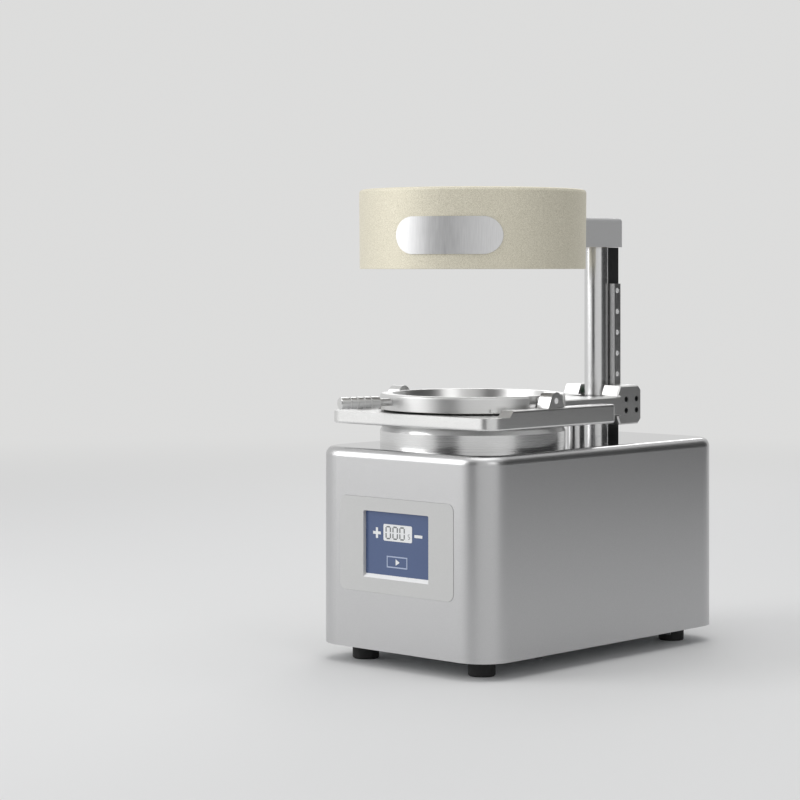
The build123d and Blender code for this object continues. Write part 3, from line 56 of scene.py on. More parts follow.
# %% Places
MM = 0.001
housing_low, housing_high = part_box("housing_shell")
pot_low, pot_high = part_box("pot_body")
panel_low, panel_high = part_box("key_panel")
column_low, column_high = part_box("column")
switch_low, switch_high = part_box("switch_frame")
pot_axis = (pot_low + pot_high) / 2
column_axis = (column_low + column_high) / 2
top_z = housing_high.z
print("pot axis", tuple(pot_axis), "top of the housing", top_z)

# %% [markdown]
# ## Camera
# The photograph was taken with a long lens, from the front right. A camera that tilts down makes upright
# edges lean together, and there they stay parallel, so this camera is level and its frame is shifted
# down, as with a view camera.

# %% Camera
EYE_RIGHT = 1054.7 * MM
EYE_BACK = -1205.8 * MM
EYE_HEIGHT = 261.9 * MM
AZIMUTH = radians(42.94)
LENS = 106.13
SENSOR = 36
SHIFT_DOWN = -0.1609
SEES_AS_FAR_AS = 50

bpy.ops.object.camera_add(
    location=(EYE_RIGHT, pot_axis.y + EYE_BACK, EYE_HEIGHT), rotation=(pi / 2, 0, AZIMUTH)
)
camera = bpy.context.object
camera.data.lens = LENS
camera.data.sensor_width = SENSOR
camera.data.shift_y = SHIFT_DOWN
camera.data.clip_end = SEES_AS_FAR_AS
bpy.context.scene.camera = camera
bpy.context.scene.view_settings.view_transform = "Standard"
print("camera at", tuple(camera.location))

# %% [markdown]
# ## Short words for node work
# Every finish is a small graph of shader nodes. Drawn with the mouse it is a picture of boxes and wires.
# In a script the same wires are long lines, so the steps that come back in many finishes get a name.

# %% Node words


def shader(name):
    """A new material with its main shader, ready for nodes."""
    material = bpy.data.materials.new(name)
    material.use_nodes = True
    nodes = material.node_tree.nodes
    return material, nodes, material.node_tree.links, nodes["Principled BSDF"]


def object_place(nodes):
    """Where on its piece the shaded point lies, in metres."""
    return nodes.new("ShaderNodeTexCoord").outputs["Object"]


def axes(nodes, links, vector):
    """The X, Y and Z of a vector."""
    split = nodes.new("ShaderNodeSeparateXYZ")
    links.new(vector, split.inputs["Vector"])
    return split.outputs


def length(nodes, links, vector):
    """How long a vector is."""
    measure = nodes.new("ShaderNodeVectorMath")
    measure.operation = "LENGTH"
    links.new(vector, measure.inputs[0])
    return measure.outputs["Value"]


print("words for a shader and for places")

# %% [markdown]
# ## Words for masks
# A mask says from 0 to 1 where a finish shows. It could be painted on the piece with a brush. Here masks
# are small sums on heights, distances and directions, so they need no painting and follow the shape.

# %% Mask words


def maths(nodes, links, operation, first, second):
    """A Math node on an output and either another output or a plain number."""
    node = nodes.new("ShaderNodeMath")
    node.operation = operation
    links.new(first, node.inputs[0])
    if isinstance(second, float):
        node.inputs[1].default_value = second
    else:
        links.new(second, node.inputs[1])
    return node.outputs["Value"]


def mapped(nodes, links, value, span, result=(0.0, 1.0)):
    """A Map Range node that takes one span of a value to another."""
    spread = nodes.new("ShaderNodeMapRange")
    spread.inputs["From Min"].default_value, spread.inputs["From Max"].default_value = span
    spread.inputs["To Min"].default_value, spread.inputs["To Max"].default_value = result
    links.new(value, spread.inputs["Value"])
    return spread


def cover(nodes, links, share, below, above, output):
    """Show one shader over another by a share, and send the result to the output node."""
    mix = nodes.new("ShaderNodeMixShader")
    links.new(share, mix.inputs["Fac"])
    links.new(below, mix.inputs[1])
    links.new(above, mix.inputs[2])
    links.new(mix.outputs["Shader"], nodes[output].inputs["Surface"])


print("words for sums, spans and covers")

# %% [markdown]
# ## Backdrop for the eye and for the metal
# The background has its own pale colour. It could be a wall with a lamp on it, but that lamp would light
# the machine too. Light Path tells rays apart, so only rays that show the backdrop get its colour: those
# from the camera, off shiny metal, and through clear plastic.

# %% Backdrop share
BACKDROP = (0.72, 0.72, 0.715, 1)


def seen_share(nodes, links):
    """1 for rays that show the backdrop, 0 for rays that light the machine."""
    path = nodes.new("ShaderNodeLightPath").outputs
    direct = maths(nodes, links, "MAXIMUM", path["Is Camera Ray"], path["Is Glossy Ray"])
    return maths(nodes, links, "MAXIMUM", direct, path["Is Transmission Ray"])


print("backdrop", BACKDROP[:3])

# %% [markdown]
# ## Studio floor
# The machine stands on a plain pale table that takes its shadow. A curved sheet of paper is the usual
# way to hide the line where a table ends. Here the table is flat and very large, and with distance it
# fades into the backdrop's colour, which looks the same from every side.

# %% Floor
FLOOR_HALF = 12.0
FLOOR_COLOUR = (0.78, 0.78, 0.775, 1)
FLOOR_ROUGHNESS = 0.9
FADE = (0.5, 2.2)

bpy.ops.mesh.primitive_plane_add(size=2 * FLOOR_HALF)
floor = bpy.context.object
floor.name = "studio_floor"
floor_paint, nodes, links, surface = shader("floor_paint")
surface.inputs["Base Color"].default_value = FLOOR_COLOUR
surface.inputs["Roughness"].default_value = FLOOR_ROUGHNESS
haze = nodes.new("ShaderNodeEmission")
haze.inputs["Color"].default_value = BACKDROP
fade = mapped(nodes, links, length(nodes, links, object_place(nodes)), FADE)
fade.interpolation_type = "SMOOTHSTEP"
far_and_seen = maths(nodes, links, "MULTIPLY", fade.outputs["Result"], seen_share(nodes, links))
cover(nodes, links, far_and_seen, surface.outputs["BSDF"], haze.outputs["Emission"], "Material Output")
floor.data.materials.append(floor_paint)
print("floor fades from", FADE[0], "to", FADE[1], "m")

# %% [markdown]
# ## Light from the room
# A studio's white walls send weak light from everywhere, which keeps the shadows open. Lamps could stand
# for the walls. The world's background does it with one number, and no wall shows.

# %% World
ROOM_LIGHT = (0.92, 0.93, 0.95, 1)
ROOM_STRENGTH = 0.5

world = bpy.data.worlds.new("studio")
world.use_nodes = True
bpy.context.scene.world = world
nodes, links = world.node_tree.nodes, world.node_tree.links
room = nodes["Background"]
room.inputs["Color"].default_value = ROOM_LIGHT
room.inputs["Strength"].default_value = ROOM_STRENGTH
seen = nodes.new("ShaderNodeBackground")
seen.inputs["Color"].default_value = BACKDROP
seen.inputs["Strength"].default_value = 1.0
share = seen_share(nodes, links)
cover(nodes, links, share, room.outputs["Background"], seen.outputs["Background"], "World Output")
print("room light", ROOM_STRENGTH)

# %% [markdown]
# ## Soft lights
# Bare metal shows its surroundings more than its own colour, so what it mirrors matters most. A small
# lamp would make a hot spot. Large square softboxes make broad bands: a strong one on the left for the
# front, a weak one on the right that leaves the long side darker, and one overhead that draws the
# rounded edges as bright lines.

# %% Lights
AIM = (0, 0, 0.16)
SOFTBOXES = {  # name: place, side length in metres, power in watts
    "front_left": ((-1.1, -1.5, 0.9), 1.3, 15),
    "right_side": ((1.7, -0.5, 0.9), 0.7, 2.0),
    "overhead": ((0.1, 0.0, 1.6), 1.3, 8),
    "behind_left": ((-0.9, 1.3, 1.0), 0.8, 4),
}


def faced(place, toward, front):
    """The turn that faces one axis of an object from a place to a point, with its top up."""
    return (Vector(toward) - Vector(place)).to_track_quat(front, "Y").to_euler()


for name, (place, size, power) in SOFTBOXES.items():
    bpy.ops.object.light_add(type="AREA", location=place)
    light = bpy.context.object
    light.name = name
    light.data.shape = "SQUARE"
    light.data.size = size
    light.data.energy = power
    light.rotation_euler = faced(place, AIM, "-Z")
print(len(SOFTBOXES), "softboxes")

# %% [markdown]
# ## Dark flags
# A photographer stands black cards beside shiny metal, out of the picture, so that its form reads. One
# stands behind the right side and darkens the long wall. A narrow one stands in front and draws a dark
# line down the rounded corner. Lowering the lamps would darken the paint and plastic as well, so only
# reflections see these cards.

# %% Flags
FLAG_BLACK = (0.05, 0.05, 0.05, 1)
FLAGS = {  # name: place, point that it faces, width, height
    "studio_flag_side": ((0.95, 0.85, 0.42), (0, 0, 0.2), 2.2, 1.3),
    "studio_flag_front": ((0.20, -1.10, 0.30), (0.07, -0.13, 0.15), 0.55, 1.4),
}

flag_card, nodes, links, surface = shader("flag_black")
surface.inputs["Base Color"].default_value = FLAG_BLACK
surface.inputs["Roughness"].default_value = 1.0
for name, (place, toward, width, height) in FLAGS.items():
    bpy.ops.mesh.primitive_plane_add(size=1, location=place)
    card = bpy.context.object
    card.name = name
    card.rotation_euler = faced(place, toward, "Z")
    card.scale = (width, height, 1)
    card.data.materials.append(flag_card)
    card.visible_camera = False
    card.visible_shadow = False
    card.visible_diffuse = False
print(len(FLAGS), "flags")

# %% [markdown]
# ## Grain for every finish
# No real surface is even. A flat colour with one roughness looks like plastic wrap, and a picture of a
# surface would repeat and blur. So each finish starts from noise, which varies its roughness and raises
# it a little. The noise reads Object coordinates, which here are real metres: a scale of 1000 means about
# one cell in each millimetre.

# %% Grain
NOISE_SPAN = (0.3, 0.7)
GRAIN_HEIGHT = 0.2 * MM
EVEN = (1, 1, 1)


def relief(nodes, links, factor, rough, bump, height):
    """Let a noise factor vary the roughness between two values and raise a fine bump."""
    surface = nodes["Principled BSDF"]
    spread = mapped(nodes, links, factor, NOISE_SPAN, rough)
    raised = nodes.new("ShaderNodeBump")
    raised.inputs["Strength"].default_value = bump
    raised.inputs["Distance"].default_value = height
    links.new(spread.outputs["Result"], surface.inputs["Roughness"])
    links.new(factor, raised.inputs["Height"])
    links.new(raised.outputs["Normal"], surface.inputs["Normal"])


def grain(material, scale, rough, bump, stretch=EVEN, detail=3.0):
    """A fine noise on Object coordinates, with its relief. Returns the noise's factor."""
    nodes, links = material.node_tree.nodes, material.node_tree.links
    mapping = nodes.new("ShaderNodeMapping")
    mapping.inputs["Scale"].default_value = stretch
    noise = nodes.new("ShaderNodeTexNoise")
    noise.inputs["Scale"].default_value = scale
    noise.inputs["Detail"].default_value = detail
    links.new(object_place(nodes), mapping.inputs["Vector"])
    links.new(mapping.outputs["Vector"], noise.inputs["Vector"])
    relief(nodes, links, noise.outputs["Fac"], rough, bump, GRAIN_HEIGHT)
    return noise.outputs["Fac"]


print("grain up to", GRAIN_HEIGHT / MM, "mm high")

# %% [markdown]
# ## Colour that drifts
# The colour of metal or paint also drifts a little from grain to grain. A second noise could drive it.
# The grain's own noise is used again, so the raised grains are the lighter ones, as on real paint.

# %% Colour
RAMP_LOW, RAMP_HIGH = 0.35, 0.65
DARKEST = 0.003


def tint(material, factor, dark, light):
    """Base colour that drifts between two close shades with a factor."""
    nodes, links = material.node_tree.nodes, material.node_tree.links
    ramp = nodes.new("ShaderNodeValToRGB")
    ends = ramp.color_ramp.elements
    ends[0].position, ends[0].color = RAMP_LOW, (*dark, 1)
    ends[1].position, ends[1].color = RAMP_HIGH, (*light, 1)
    links.new(factor, ramp.inputs["Fac"])
    links.new(ramp.outputs["Color"], nodes["Principled BSDF"].inputs["Base Color"])


def finish(name, colour, rough, scale, bump, drift, stretch=EVEN, metallic=0.0):
    """A surface with a grain: a colour that drifts, a span of roughness, a scale and a bump."""
    material, nodes, links, surface = shader(name)
    surface.inputs["Metallic"].default_value = metallic
    factor = grain(material, scale, rough, bump, stretch)
    tint(material, factor, [max(c - drift, DARKEST) for c in colour], [c + drift for c in colour])
    return material


finishes = {}
print("colours drift over", round(RAMP_HIGH - RAMP_LOW, 2), "of the noise")

# %% [markdown]
# ## Satin housing with a polished top
# The deep-drawn housing is blasted to an even satin on its sides, and its top is polished until it
# mirrors the pot and column. It is one sheet of metal, so it could have two materials on two sets of
# faces. One material does both here: the height of a point chooses the roughness, so the satin runs
# softly into the polish round the edge.

# %% Housing
SATIN = (0.30, 0.38)
POLISH = 0.05
EDGE_BAND = 1.2 * MM
BLAST_SCALE, BLAST_BUMP = 2200, 0.04
HOUSING_DARK, HOUSING_LIGHT = (0.545, 0.545, 0.55), (0.585, 0.585, 0.59)

housing, nodes, links, surface = shader("satin_and_polished_metal")
surface.inputs["Metallic"].default_value = 1.0
tint(housing, grain(housing, BLAST_SCALE, SATIN, BLAST_BUMP), HOUSING_DARK, HOUSING_LIGHT)
height = axes(nodes, links, object_place(nodes))["Z"]
near_top = mapped(nodes, links, height, (top_z - EDGE_BAND, top_z - EDGE_BAND / 4))
blend = nodes.new("ShaderNodeMix")
blend.inputs["B"].default_value = POLISH
satin_roughness = surface.inputs["Roughness"].links[0].from_socket
links.new(near_top.outputs["Result"], blend.inputs["Factor"])
links.new(satin_roughness, blend.inputs["A"])
links.new(blend.outputs["Result"], surface.inputs["Roughness"])
finishes["satin_shell"] = housing
print("housing", SATIN, "sides,", POLISH, "top")

# %% [markdown]
# ## Turned metal
# The pot, the clamp ring and the column are turned or ground round an upright axis. The tool leaves
# rings finer than a hair, which stretch a highlight across the turning direction. Modelled rings would
# take millions of faces. Noise along one line does it: the line is the distance to the axis plus the
# height, so rings run round on flat faces and on walls alike.

# %% Turned metal
RING_HEIGHT = 0.1 * MM
RING_DETAIL = 2.0
RING_DRIFT = 0.02


def turned_metal(name, colour, rough, centre, pitch, bump):
    """Metal with fine rings round an upright axis."""
    material, nodes, links, surface = shader(name)
    surface.inputs["Metallic"].default_value = 1.0
    offset = nodes.new("ShaderNodeMapping")
    offset.inputs["Location"].default_value = (-centre.x, -centre.y, 0)
    links.new(object_place(nodes), offset.inputs["Vector"])
    place = axes(nodes, links, offset.outputs["Vector"])
    flat = nodes.new("ShaderNodeCombineXYZ")
    links.new(place["X"], flat.inputs["X"])
    links.new(place["Y"], flat.inputs["Y"])
    noise = nodes.new("ShaderNodeTexNoise")
    noise.noise_dimensions = "1D"
    noise.inputs["Scale"].default_value = 1 / pitch
    noise.inputs["Detail"].default_value = RING_DETAIL
    outward = length(nodes, links, flat.outputs["Vector"])
    links.new(maths(nodes, links, "ADD", outward, place["Z"]), noise.inputs["W"])
    relief(nodes, links, noise.outputs["Fac"], rough, bump, RING_HEIGHT)
    dark, light = [c - RING_DRIFT for c in colour], [c + RING_DRIFT for c in colour]
    tint(material, noise.outputs["Fac"], dark, light)
    return material


TURNED = {  # slot: name, colour, roughness from and to, axis, pitch of the rings, bump
    "polished_aluminium": ("turned_pot", (0.76, 0.76, 0.76), (0.22, 0.28), pot_axis, 0.25 * MM, 0.015),
    "turned_ring": ("turned_ring", (0.76, 0.76, 0.755), (0.28, 0.36), pot_axis, 0.25 * MM, 0.04),
    "chrome": ("ground_column", (0.74, 0.74, 0.745), (0.20, 0.27), column_axis, 0.4 * MM, 0.006),
}
for slot, row in TURNED.items():
    finishes[slot] = turned_metal(*row)
print(len(TURNED), "turned finishes")

# %% [markdown]
# ## Other metals
# The sheet frame is milled aluminium with a soft grain. The rails are ground, so their grain is drawn
# out along their length. Inside are castings, plated sheet, brass and the dull iron of the motor. Each
# could get its own node graph, but they differ only in numbers, so they are rows of one table.

# %% Metals
ALONG_RAIL, ACROSS_PLATE, IN_LAYERS = (1, 1, 0.05), (1, 1, 0.06), (0.02, 0.02, 1)
METALS = {  # slot: name, colour, roughness from and to, scale, bump, colour drift, stretch
    "satin_aluminium": ("milled_aluminium", (0.76, 0.76, 0.755), (0.26, 0.33), 2400, 0.006, 0.012, EVEN),
    "satin_steel": ("ground_steel", (0.66, 0.66, 0.66), (0.26, 0.33), 2200, 0.02, 0.03, ALONG_RAIL),
    "cast_aluminium": ("cast_aluminium", (0.58, 0.58, 0.58), (0.42, 0.58), 700, 0.5, 0.03, EVEN),
    "zinc_sheet": ("zinc_plated_sheet", (0.56, 0.58, 0.60), (0.28, 0.42), 120, 0.03, 0.03, EVEN),
    "screw_steel": ("plain_screws", (0.80, 0.80, 0.79), (0.42, 0.52), 2500, 0.05, 0.03, EVEN),
    "screw_black": ("black_oxide", (0.05, 0.05, 0.052), (0.3, 0.45), 2500, 0.1, 0.01, EVEN),
    "brass": ("brass", (0.70, 0.55, 0.28), (0.20, 0.34), 900, 0.06, 0.03, EVEN),
    "core_steel": ("laminations", (0.26, 0.25, 0.24), (0.4, 0.6), 1600, 0.5, 0.03, IN_LAYERS),
    "element_sheath": ("heated_sheath", (0.20, 0.17, 0.15), (0.35, 0.55), 500, 0.2, 0.06, EVEN),
    "bright_reflector": ("bright_sheet", (0.78, 0.77, 0.74), (0.10, 0.20), 260, 0.04, 0.03, EVEN),
    "bare_plate": ("bare_plate", (0.70, 0.70, 0.705), (0.42, 0.50), 1400, 0.008, 0.03, ACROSS_PLATE),
}
for slot, row in METALS.items():
    finishes[slot] = finish(*row, metallic=1.0)
print(len(METALS), "metals")

# %% [markdown]
# ## Sand-textured paint
# The heater wears a pale champagne paint with a sandy texture, which hides finger marks and stands the
# heat. Its grains are about half a millimetre, and each is a touch lighter or darker. Grains of real
# mesh would be far too many, so they are bump and colour from one noise. The paint holds metal flakes,
# so it is partly metal, and falls off to a darker tone on the side away from the light.

# %% Heater paint
FLAKES = 0.4
PAINT_ROUGH = (0.50, 0.68)
SAND_SCALE, SAND_BUMP, SAND_DETAIL = 2000, 0.6, 4.0
CHAMPAGNE_DARK, CHAMPAGNE_LIGHT = (0.63, 0.585, 0.455), (0.90, 0.86, 0.725)

champagne, nodes, links, surface = shader("sand_textured_paint")
surface.inputs["Metallic"].default_value = FLAKES
sand = grain(champagne, SAND_SCALE, PAINT_ROUGH, SAND_BUMP, detail=SAND_DETAIL)
tint(champagne, sand, CHAMPAGNE_DARK, CHAMPAGNE_LIGHT)
finishes["champagne_paint"] = champagne
print("champagne", CHAMPAGNE_DARK, "to", CHAMPAGNE_LIGHT)

# %% [markdown]
# ## Paint, plastic and rubber
# The arm is painted grey, the guide bar black, the feet are rubber, and the switch and inlet are
# moulded with a fine spark-eroded texture. They are not metal, so their colour is their own and their
# grain carries the look. Again one table holds what differs.

# %% Paint, plastic and rubber
DULL = {  # slot: name, colour, roughness from and to, scale, bump, colour drift
    "grey_paint": ("grey_arm_paint", (0.46, 0.46, 0.46), (0.38, 0.5), 1500, 0.2, 0.01),
    "black_paint": ("satin_black", (0.016, 0.016, 0.017), (0.32, 0.42), 1500, 0.1, 0.003),
    "black_rubber": ("black_rubber", (0.018, 0.018, 0.018), (0.65, 0.85), 1200, 0.4, 0.004),
    "black_plastic": ("black_plastic", (0.02, 0.02, 0.021), (0.40, 0.55), 2200, 0.35, 0.004),
    "white_silicone": ("silicone_cord", (0.70, 0.69, 0.66), (0.5, 0.62), 900, 0.1, 0.01),
    # the bezel's material gets a painted highlight on its sill, further down
    "grey_plastic": ("bezel_with_white_sill", (0.60, 0.60, 0.592), (0.38, 0.48), 2200, 0.08, 0.01),
    "green_plastic": ("end_cap_green", (0.03, 0.16, 0.07), (0.3, 0.4), 1800, 0.1, 0.01),
    "green_board": ("board_lacquer", (0.02, 0.12, 0.05), (0.18, 0.3), 300, 0.1, 0.01),
    "ceramic_wool": ("ceramic_wool", (0.74, 0.72, 0.67), (0.85, 0.98), 700, 0.9, 0.05),
    "blue_panel": ("printed_blue_film", (0.085, 0.125, 0.25), (0.16, 0.24), 2500, 0.03, 0.004),
}
for slot, row in DULL.items():
    finishes[slot] = finish(*row)
print(len(finishes), "finishes")

# %% [markdown]
# ## Painted highlight on the sill under the window
# The lower edge of the bezel's window is a bevel that faces up and catches the light from above. That
# light is painted into its colour as a near-white highlight. It could be a strip laid on the bevel, but
# the bezel is one moulding. So its material finds the bevel by itself: it is the part that faces up, just
# below the window.

# %% Sill with a painted highlight
# The near-white colour stands in for the light that the upward bevel catches: a painted highlight.
SILL_PAINTED_HIGHLIGHT = (0.97, 0.97, 0.965, 1)
SILL_HEIGHT = 2.3 * MM
WINDOW_HALF_HEIGHT = 20.9 * MM
SILL_MARGIN = 0.1 * MM
FACES_UP = 0.5
sill_top = (panel_low.z + panel_high.z) / 2 - WINDOW_HALF_HEIGHT
sill_low = sill_top - SILL_HEIGHT

bezel = finishes["grey_plastic"]
nodes, links = bezel.node_tree.nodes, bezel.node_tree.links
surface = nodes["Principled BSDF"]
facing = axes(nodes, links, nodes.new("ShaderNodeNewGeometry").outputs["True Normal"])["Z"]
height = axes(nodes, links, object_place(nodes))["Z"]
upward = maths(nodes, links, "GREATER_THAN", facing, FACES_UP)
below = maths(nodes, links, "LESS_THAN", height, sill_top + SILL_MARGIN)
above = maths(nodes, links, "GREATER_THAN", height, sill_low - SILL_MARGIN)
sill_highlight_share = maths(nodes, links, "MULTIPLY", upward, maths(nodes, links, "MULTIPLY", below, above))
blend = nodes.new("ShaderNodeMix")
blend.data_type = "RGBA"
# The white that goes in here is the painted highlight on the sill.
grey, white = (socket for socket in blend.inputs if socket.type == "RGBA")
white.default_value = SILL_PAINTED_HIGHLIGHT
links.new(sill_highlight_share, blend.inputs["Factor"])
links.new(surface.inputs["Base Color"].links[0].from_socket, grey)
blended = next(socket for socket in blend.outputs if socket.type == "RGBA")
links.new(blended, surface.inputs["Base Color"])
print("sill from", round(sill_low, 4), "to", round(sill_top, 4))

# %% [markdown]
# ## Plating with a painted glint
# The screws in the rails and the pins in the ears are plated. They stay pale even where the metal round
# them mirrors something dark, because their glint is painted into a near-white colour. A brighter lamp
# would lift the rails too, so their finish is only partly metal. The screws under the base are blackened,
# and stay out of sight in its shadow.

# %% Plating with a painted glint
PARTLY_METAL = 0.25
# A near-white colour on a finish that is mostly not metal: a painted glint on the screws and pins.
bright = finish(
    "plating_with_painted_glint", (0.93, 0.93, 0.925), (0.45, 0.60), 2500, 0.03, 0.03, metallic=PARTLY_METAL
)
own_finish = {"rail_screws": bright, "clamp_pins": bright, "base_screws": finishes["screw_black"]}
print(len(own_finish), "nodes with a finish of their own")

# %% [markdown]
# ## Dress the CAD nodes
# The record names a material slot for each node. A finish could be dropped on each of them by hand, but
# the finishes above carry the same names as the slots, so one loop dresses the whole frame and no piece
# is forgotten.

# %% Dress
for subpart in frame["record"]["subparts"]:
    name = subpart["node"]
    slots = frame["nodes"][name].data.materials
    slots.clear()
    slots.append(own_finish.get(name, finishes[subpart["material_slot"]]))
print(len(frame["nodes"]), "nodes dressed")

# %% [markdown]
# ## Inks of the key panel
# The panel is a printed film: white and dark grey for the display and its signs, and a pale blue line
# round the start key. Ink on film is smooth, so its grain is almost gone.

# %% Inks
INK_ROUGH = (0.35, 0.45)
print_white = finish("print_white", (0.86, 0.87, 0.88), INK_ROUGH, 2500, 0.02, 0.01)
print_dark = finish("print_dark", (0.16, 0.17, 0.17), INK_ROUGH, 2500, 0.02, 0.01)
print_pale_blue = finish("print_pale_blue", (0.42, 0.49, 0.66), INK_ROUGH, 2500, 0.02, 0.01)
print("three inks")

# %% [markdown]
# ## From object to finished piece
# Every mark ends in the same way: its place, turn and size go into its mesh, it gets its finish, and it
# is tied to the body that it moves with. These steps could stand after each mark. In one helper they
# can't be forgotten.

# %% Finished pieces


def finish_piece(name, material, body):
    """The active object becomes a finished piece: its place in its mesh, its finish, and its body."""
    piece = bpy.context.object
    piece.name = name
    bpy.ops.object.transform_apply(location=True, rotation=True, scale=True)
    piece.data.materials.clear()
    piece.data.materials.append(material)
    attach(piece, body)
    print(name, len(piece.data.polygons), "faces")


def joined(plates):
    """Several plates become one object."""
    bpy.ops.object.select_all(action="DESELECT")
    for piece in plates:
        piece.select_set(True)
    bpy.context.view_layer.objects.active = plates[0]
    bpy.ops.object.join()


print("words for finished and joined pieces")

# %% [markdown]
# ## How a printed mark is made
# Print could be a picture on the panel, or a pattern in its material. Here each mark is a plate 0.12 mm
# thick that stands 0.05 mm off the film, because an edge of real mesh stays sharp from any distance.
# A plate starts as a cube, is flattened, and has its upright corners rounded by a bevel. With the mouse
# those edges would be clicked. A script picks them by a test instead.

# %% Marks: plates
MARK_LIFT = 0.05 * MM
MARK_DEPTH = 0.12 * MM
SOFT_CORNER = 0.12 * MM
BEVEL_STEPS = 4
film_y = panel_low.y


def select_in(piece, kind, chosen):
    """Select the faces or edges of a piece that pass a test, and stay in edit mode."""
    bpy.ops.object.mode_set(mode="EDIT")
    bpy.ops.mesh.select_mode(type=kind)
    bpy.ops.mesh.select_all(action="DESELECT")
    bpy.ops.object.mode_set(mode="OBJECT")
    for item in piece.data.polygons if kind == "FACE" else piece.data.edges:
        item.select = chosen(item)
    bpy.ops.object.mode_set(mode="EDIT")


def plate(place, width, height, bevel=SOFT_CORNER):
    """One thin upright plate of print, with soft corners."""
    bpy.ops.object.select_all(action="DESELECT")
    bpy.ops.mesh.primitive_cube_add(size=1, location=place)
    piece = bpy.context.object
    piece.scale = (width, MARK_DEPTH, height)
    bpy.ops.object.transform_apply(location=False, rotation=False, scale=True)

    def runs_through(edge):
        first, second = (piece.data.vertices[i].co for i in edge.vertices)
        return abs(first.y - second.y) > MARK_DEPTH / 2

    if bevel:
        select_in(piece, "EDGE", runs_through)
        bpy.ops.mesh.bevel(offset=bevel, segments=BEVEL_STEPS, affect="EDGES")
        bpy.ops.object.mode_set(mode="OBJECT")
    return piece


def bar(x, z, width, height, bevel=SOFT_CORNER):
    """A plate that lies on the film."""
    return plate((x, film_y - MARK_LIFT - MARK_DEPTH / 2, z), width, height, bevel)


print("marks stand", (MARK_LIFT + MARK_DEPTH) / MM, "mm proud")

# %% [markdown]
# ## Plus and minus
# The two time keys are marked with a plus and a minus. The plus could be two crossed bars, but where
# they cross, two faces would lie in one plane and flicker. So it grows from a small square: each of its
# four sides is extruded into an arm, and the mark is one closed shape.

# %% Marks: plus and minus
MARK_Z = 89.1 * MM
PLUS_X, MINUS_X = -18.9 * MM, 18.2 * MM
PLUS_SIZE, STROKE = 7.0 * MM, 1.9 * MM
SAME_WAY = 0.9


def grow_arm(piece, side, reach):
    """Extrude the face at the middle of one side of a plate, straight outwards."""
    way = Vector(side)

    def at_middle(face):
        across = face.center - way * face.center.dot(way)
        return face.normal.dot(way) > SAME_WAY and across.length < SOFT_CORNER

    select_in(piece, "FACE", at_middle)
    bpy.ops.mesh.extrude_region_move(TRANSFORM_OT_translate={"value": way * reach})
    bpy.ops.object.mode_set(mode="OBJECT")


plus = bar(PLUS_X, MARK_Z, STROKE, STROKE, bevel=0)
for side in ((1, 0, 0), (-1, 0, 0), (0, 0, 1), (0, 0, -1)):
    grow_arm(plus, side, (PLUS_SIZE - STROKE) / 2)
finish_piece("plus_mark", print_white, "base")
bar(MINUS_X, MARK_Z, PLUS_SIZE, STROKE)
finish_piece("minus_mark", print_white, "base")

# %% [markdown]
# ## Display field
# The display is a pale window in the film, with round corners. One plate with a larger bevel is enough.

# %% Marks: display field
FIELD_LEFT, FIELD_RIGHT = -13.0 * MM, 12.6 * MM
FIELD_LOW, FIELD_HIGH = 84.4 * MM, 95.4 * MM
FIELD_CORNER = 1.1 * MM

field_x, field_z = (FIELD_LEFT + FIELD_RIGHT) / 2, (FIELD_LOW + FIELD_HIGH) / 2
bar(field_x, field_z, FIELD_RIGHT - FIELD_LEFT, FIELD_HIGH - FIELD_LOW, bevel=FIELD_CORNER)
finish_piece("display_field", print_white, "base")

# %% [markdown]
# ## Digits
# The display shows three zeros and a small unit, as seven-segment characters. A font could write them,
# but a display lights straight bars, so each character is a choice of up to seven bars. The bars are
# made once in a helper, and all of them are joined into one piece that stands on the field.

# %% Marks: digits
DIGIT_W, DIGIT_H, SEGMENT = 3.9 * MM, 7.8 * MM, 0.85 * MM
SEGMENT_TRIM = 1.2
FIRST_DIGIT, DIGIT_PITCH, DIGITS = -8.6 * MM, 6.2 * MM, 3
UNIT_X, UNIT_SCALE, UNIT_DROP = 9.9 * MM, 0.38, 0.2
ALL_SIX = "top bottom left_high left_low right_high right_low"
LIKE_FIVE = "top middle bottom left_high right_low"


def digit(x, z, scale, lit):
    """The lit bars of one seven-segment character."""
    wide, tall, thick = DIGIT_W * scale, DIGIT_H * scale, SEGMENT * scale
    level, upright = (wide - SEGMENT_TRIM * thick, thick), (thick, tall / 2 - thick)
    bars = {
        "top": (x, z + tall / 2, *level),
        "middle": (x, z, *level),
        "bottom": (x, z - tall / 2, *level),
        "left_high": (x - wide / 2, z + tall / 4, *upright),
        "left_low": (x - wide / 2, z - tall / 4, *upright),
        "right_high": (x + wide / 2, z + tall / 4, *upright),
        "right_low": (x + wide / 2, z - tall / 4, *upright),
    }
    return [bar(*bars[name]) for name in lit.split()]


segments = digit(UNIT_X, field_z - DIGIT_H * UNIT_DROP, UNIT_SCALE, LIKE_FIVE)
for count in range(DIGITS):
    segments += digit(FIRST_DIGIT + count * DIGIT_PITCH, field_z, 1.0, ALL_SIX)
print(len(segments), "lit segments")
joined(segments)
bpy.ops.transform.translate(value=(0, -MARK_DEPTH, 0))
finish_piece("display_digits", print_dark, "base")

# %% [markdown]
# ## Start key
# The start key is a thin frame with a sign in it. The frame is four bars that meet without overlap. The
# sign is a plain triangle: a circle of three corners, filled, and extruded to the depth of a plate.

# %% Marks: start key
KEY_LEFT, KEY_RIGHT = -9.2 * MM, 7.6 * MM
KEY_LOW, KEY_HIGH = 67.3 * MM, 74.2 * MM
KEY_LINE = 0.8 * MM
START_RADIUS = 2.4 * MM

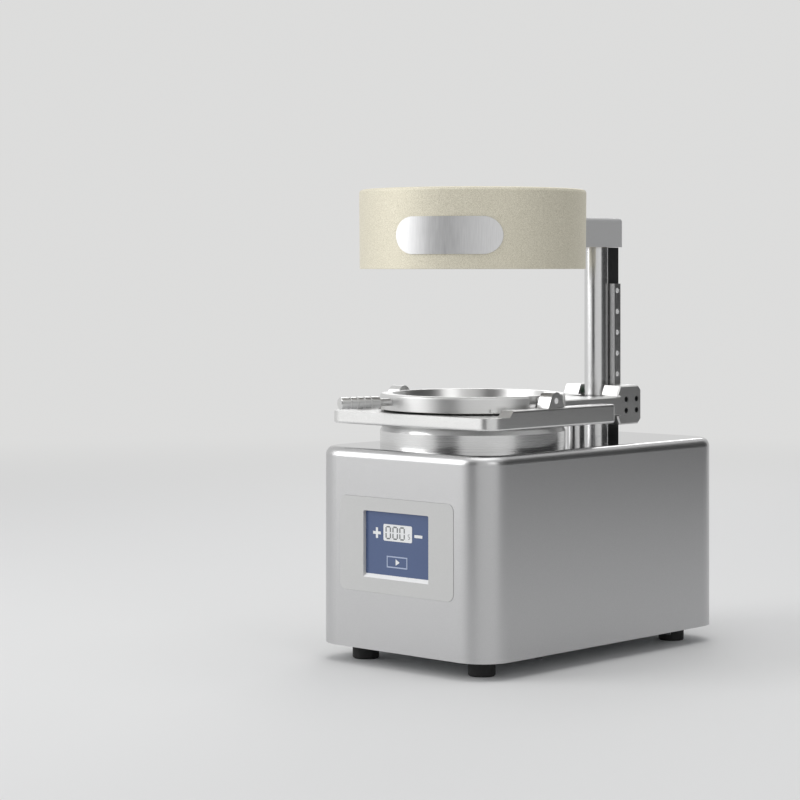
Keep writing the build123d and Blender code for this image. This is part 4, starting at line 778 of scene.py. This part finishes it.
key_x, key_z = (KEY_LEFT + KEY_RIGHT) / 2, (KEY_LOW + KEY_HIGH) / 2
key_w, key_h = KEY_RIGHT - KEY_LEFT, KEY_HIGH - KEY_LOW + KEY_LINE
joined([
    bar(key_x, KEY_LOW, key_w, KEY_LINE, bevel=0),
    bar(key_x, KEY_HIGH, key_w, KEY_LINE, bevel=0),
    bar(KEY_LEFT - KEY_LINE / 2, key_z, KEY_LINE, key_h, bevel=0),
    bar(KEY_RIGHT + KEY_LINE / 2, key_z, KEY_LINE, key_h, bevel=0),
])
finish_piece("start_key_frame", print_pale_blue, "base")


def thicken(way, shift=(0, 0, 0)):
    """Give a flat outline its depth, shift it if asked, and turn its faces outwards."""
    bpy.ops.mesh.select_all(action="SELECT")
    bpy.ops.mesh.extrude_region_move(TRANSFORM_OT_translate={"value": way})
    bpy.ops.mesh.select_all(action="SELECT")
    bpy.ops.transform.translate(value=shift)
    bpy.ops.mesh.normals_make_consistent(inside=False)


bpy.ops.object.select_all(action="DESELECT")
bpy.ops.mesh.primitive_circle_add(
    vertices=3, radius=START_RADIUS, fill_type="NGON",
    location=(key_x, film_y - MARK_LIFT, key_z), rotation=(pi / 2, pi / 2, 0),
)
bpy.ops.object.mode_set(mode="EDIT")
thicken((0, -MARK_DEPTH, 0))
bpy.ops.object.mode_set(mode="OBJECT")
finish_piece("start_mark", print_white, "base")

# %% [markdown]
# ## Marks on the power switch
# A rocker carries a bar for on and a ring for off, one on each half. The two halves slope, so each mark
# is made flat and then turned to lie on its half. The bar is a plate. The ring is a disc with its middle
# inset and taken out, and then thickened. Both ride on the rocker, and tilt when it is pressed.

# %% Marks: switch
PIVOT_IN = 2.8 * MM
TILT_HIGH, TILT_LOW = radians(19.2), radians(-1.2)
PLACE_HIGH = Vector((0, 3.67 * MM, 2.87 * MM))
PLACE_LOW = Vector((0, 2.61 * MM, -3.84 * MM))
BAR_LENGTH, BAR_WIDTH = 2.8 * MM, 0.5 * MM
RING_RADIUS, RING_WIRE, RING_SIDES = 1.2 * MM, 0.22 * MM, 48

switch_middle = (switch_low + switch_high) / 2
pivot = Vector((switch_middle.x, housing_high.y - PIVOT_IN, switch_middle.z))

on_mark = plate(pivot + PLACE_HIGH, BAR_WIDTH, BAR_LENGTH)
on_mark.rotation_euler.x = -TILT_HIGH
finish_piece("switch_on_mark", print_white, "rocker")

bpy.ops.object.select_all(action="DESELECT")
bpy.ops.mesh.primitive_circle_add(
    vertices=RING_SIDES, radius=RING_RADIUS + RING_WIRE, fill_type="NGON"
)
off_mark = bpy.context.object
bpy.ops.object.mode_set(mode="EDIT")
bpy.ops.mesh.select_mode(type="FACE")
bpy.ops.mesh.select_all(action="SELECT")
bpy.ops.mesh.inset(thickness=2 * RING_WIRE)
bpy.ops.mesh.delete(type="FACE")
thicken((0, 0, MARK_DEPTH), shift=(0, 0, -MARK_DEPTH / 2))
bpy.ops.object.mode_set(mode="OBJECT")
off_mark.location = pivot + PLACE_LOW
off_mark.rotation_euler.x = pi / 2 - TILT_LOW
finish_piece("switch_off_mark", print_white, "rocker")
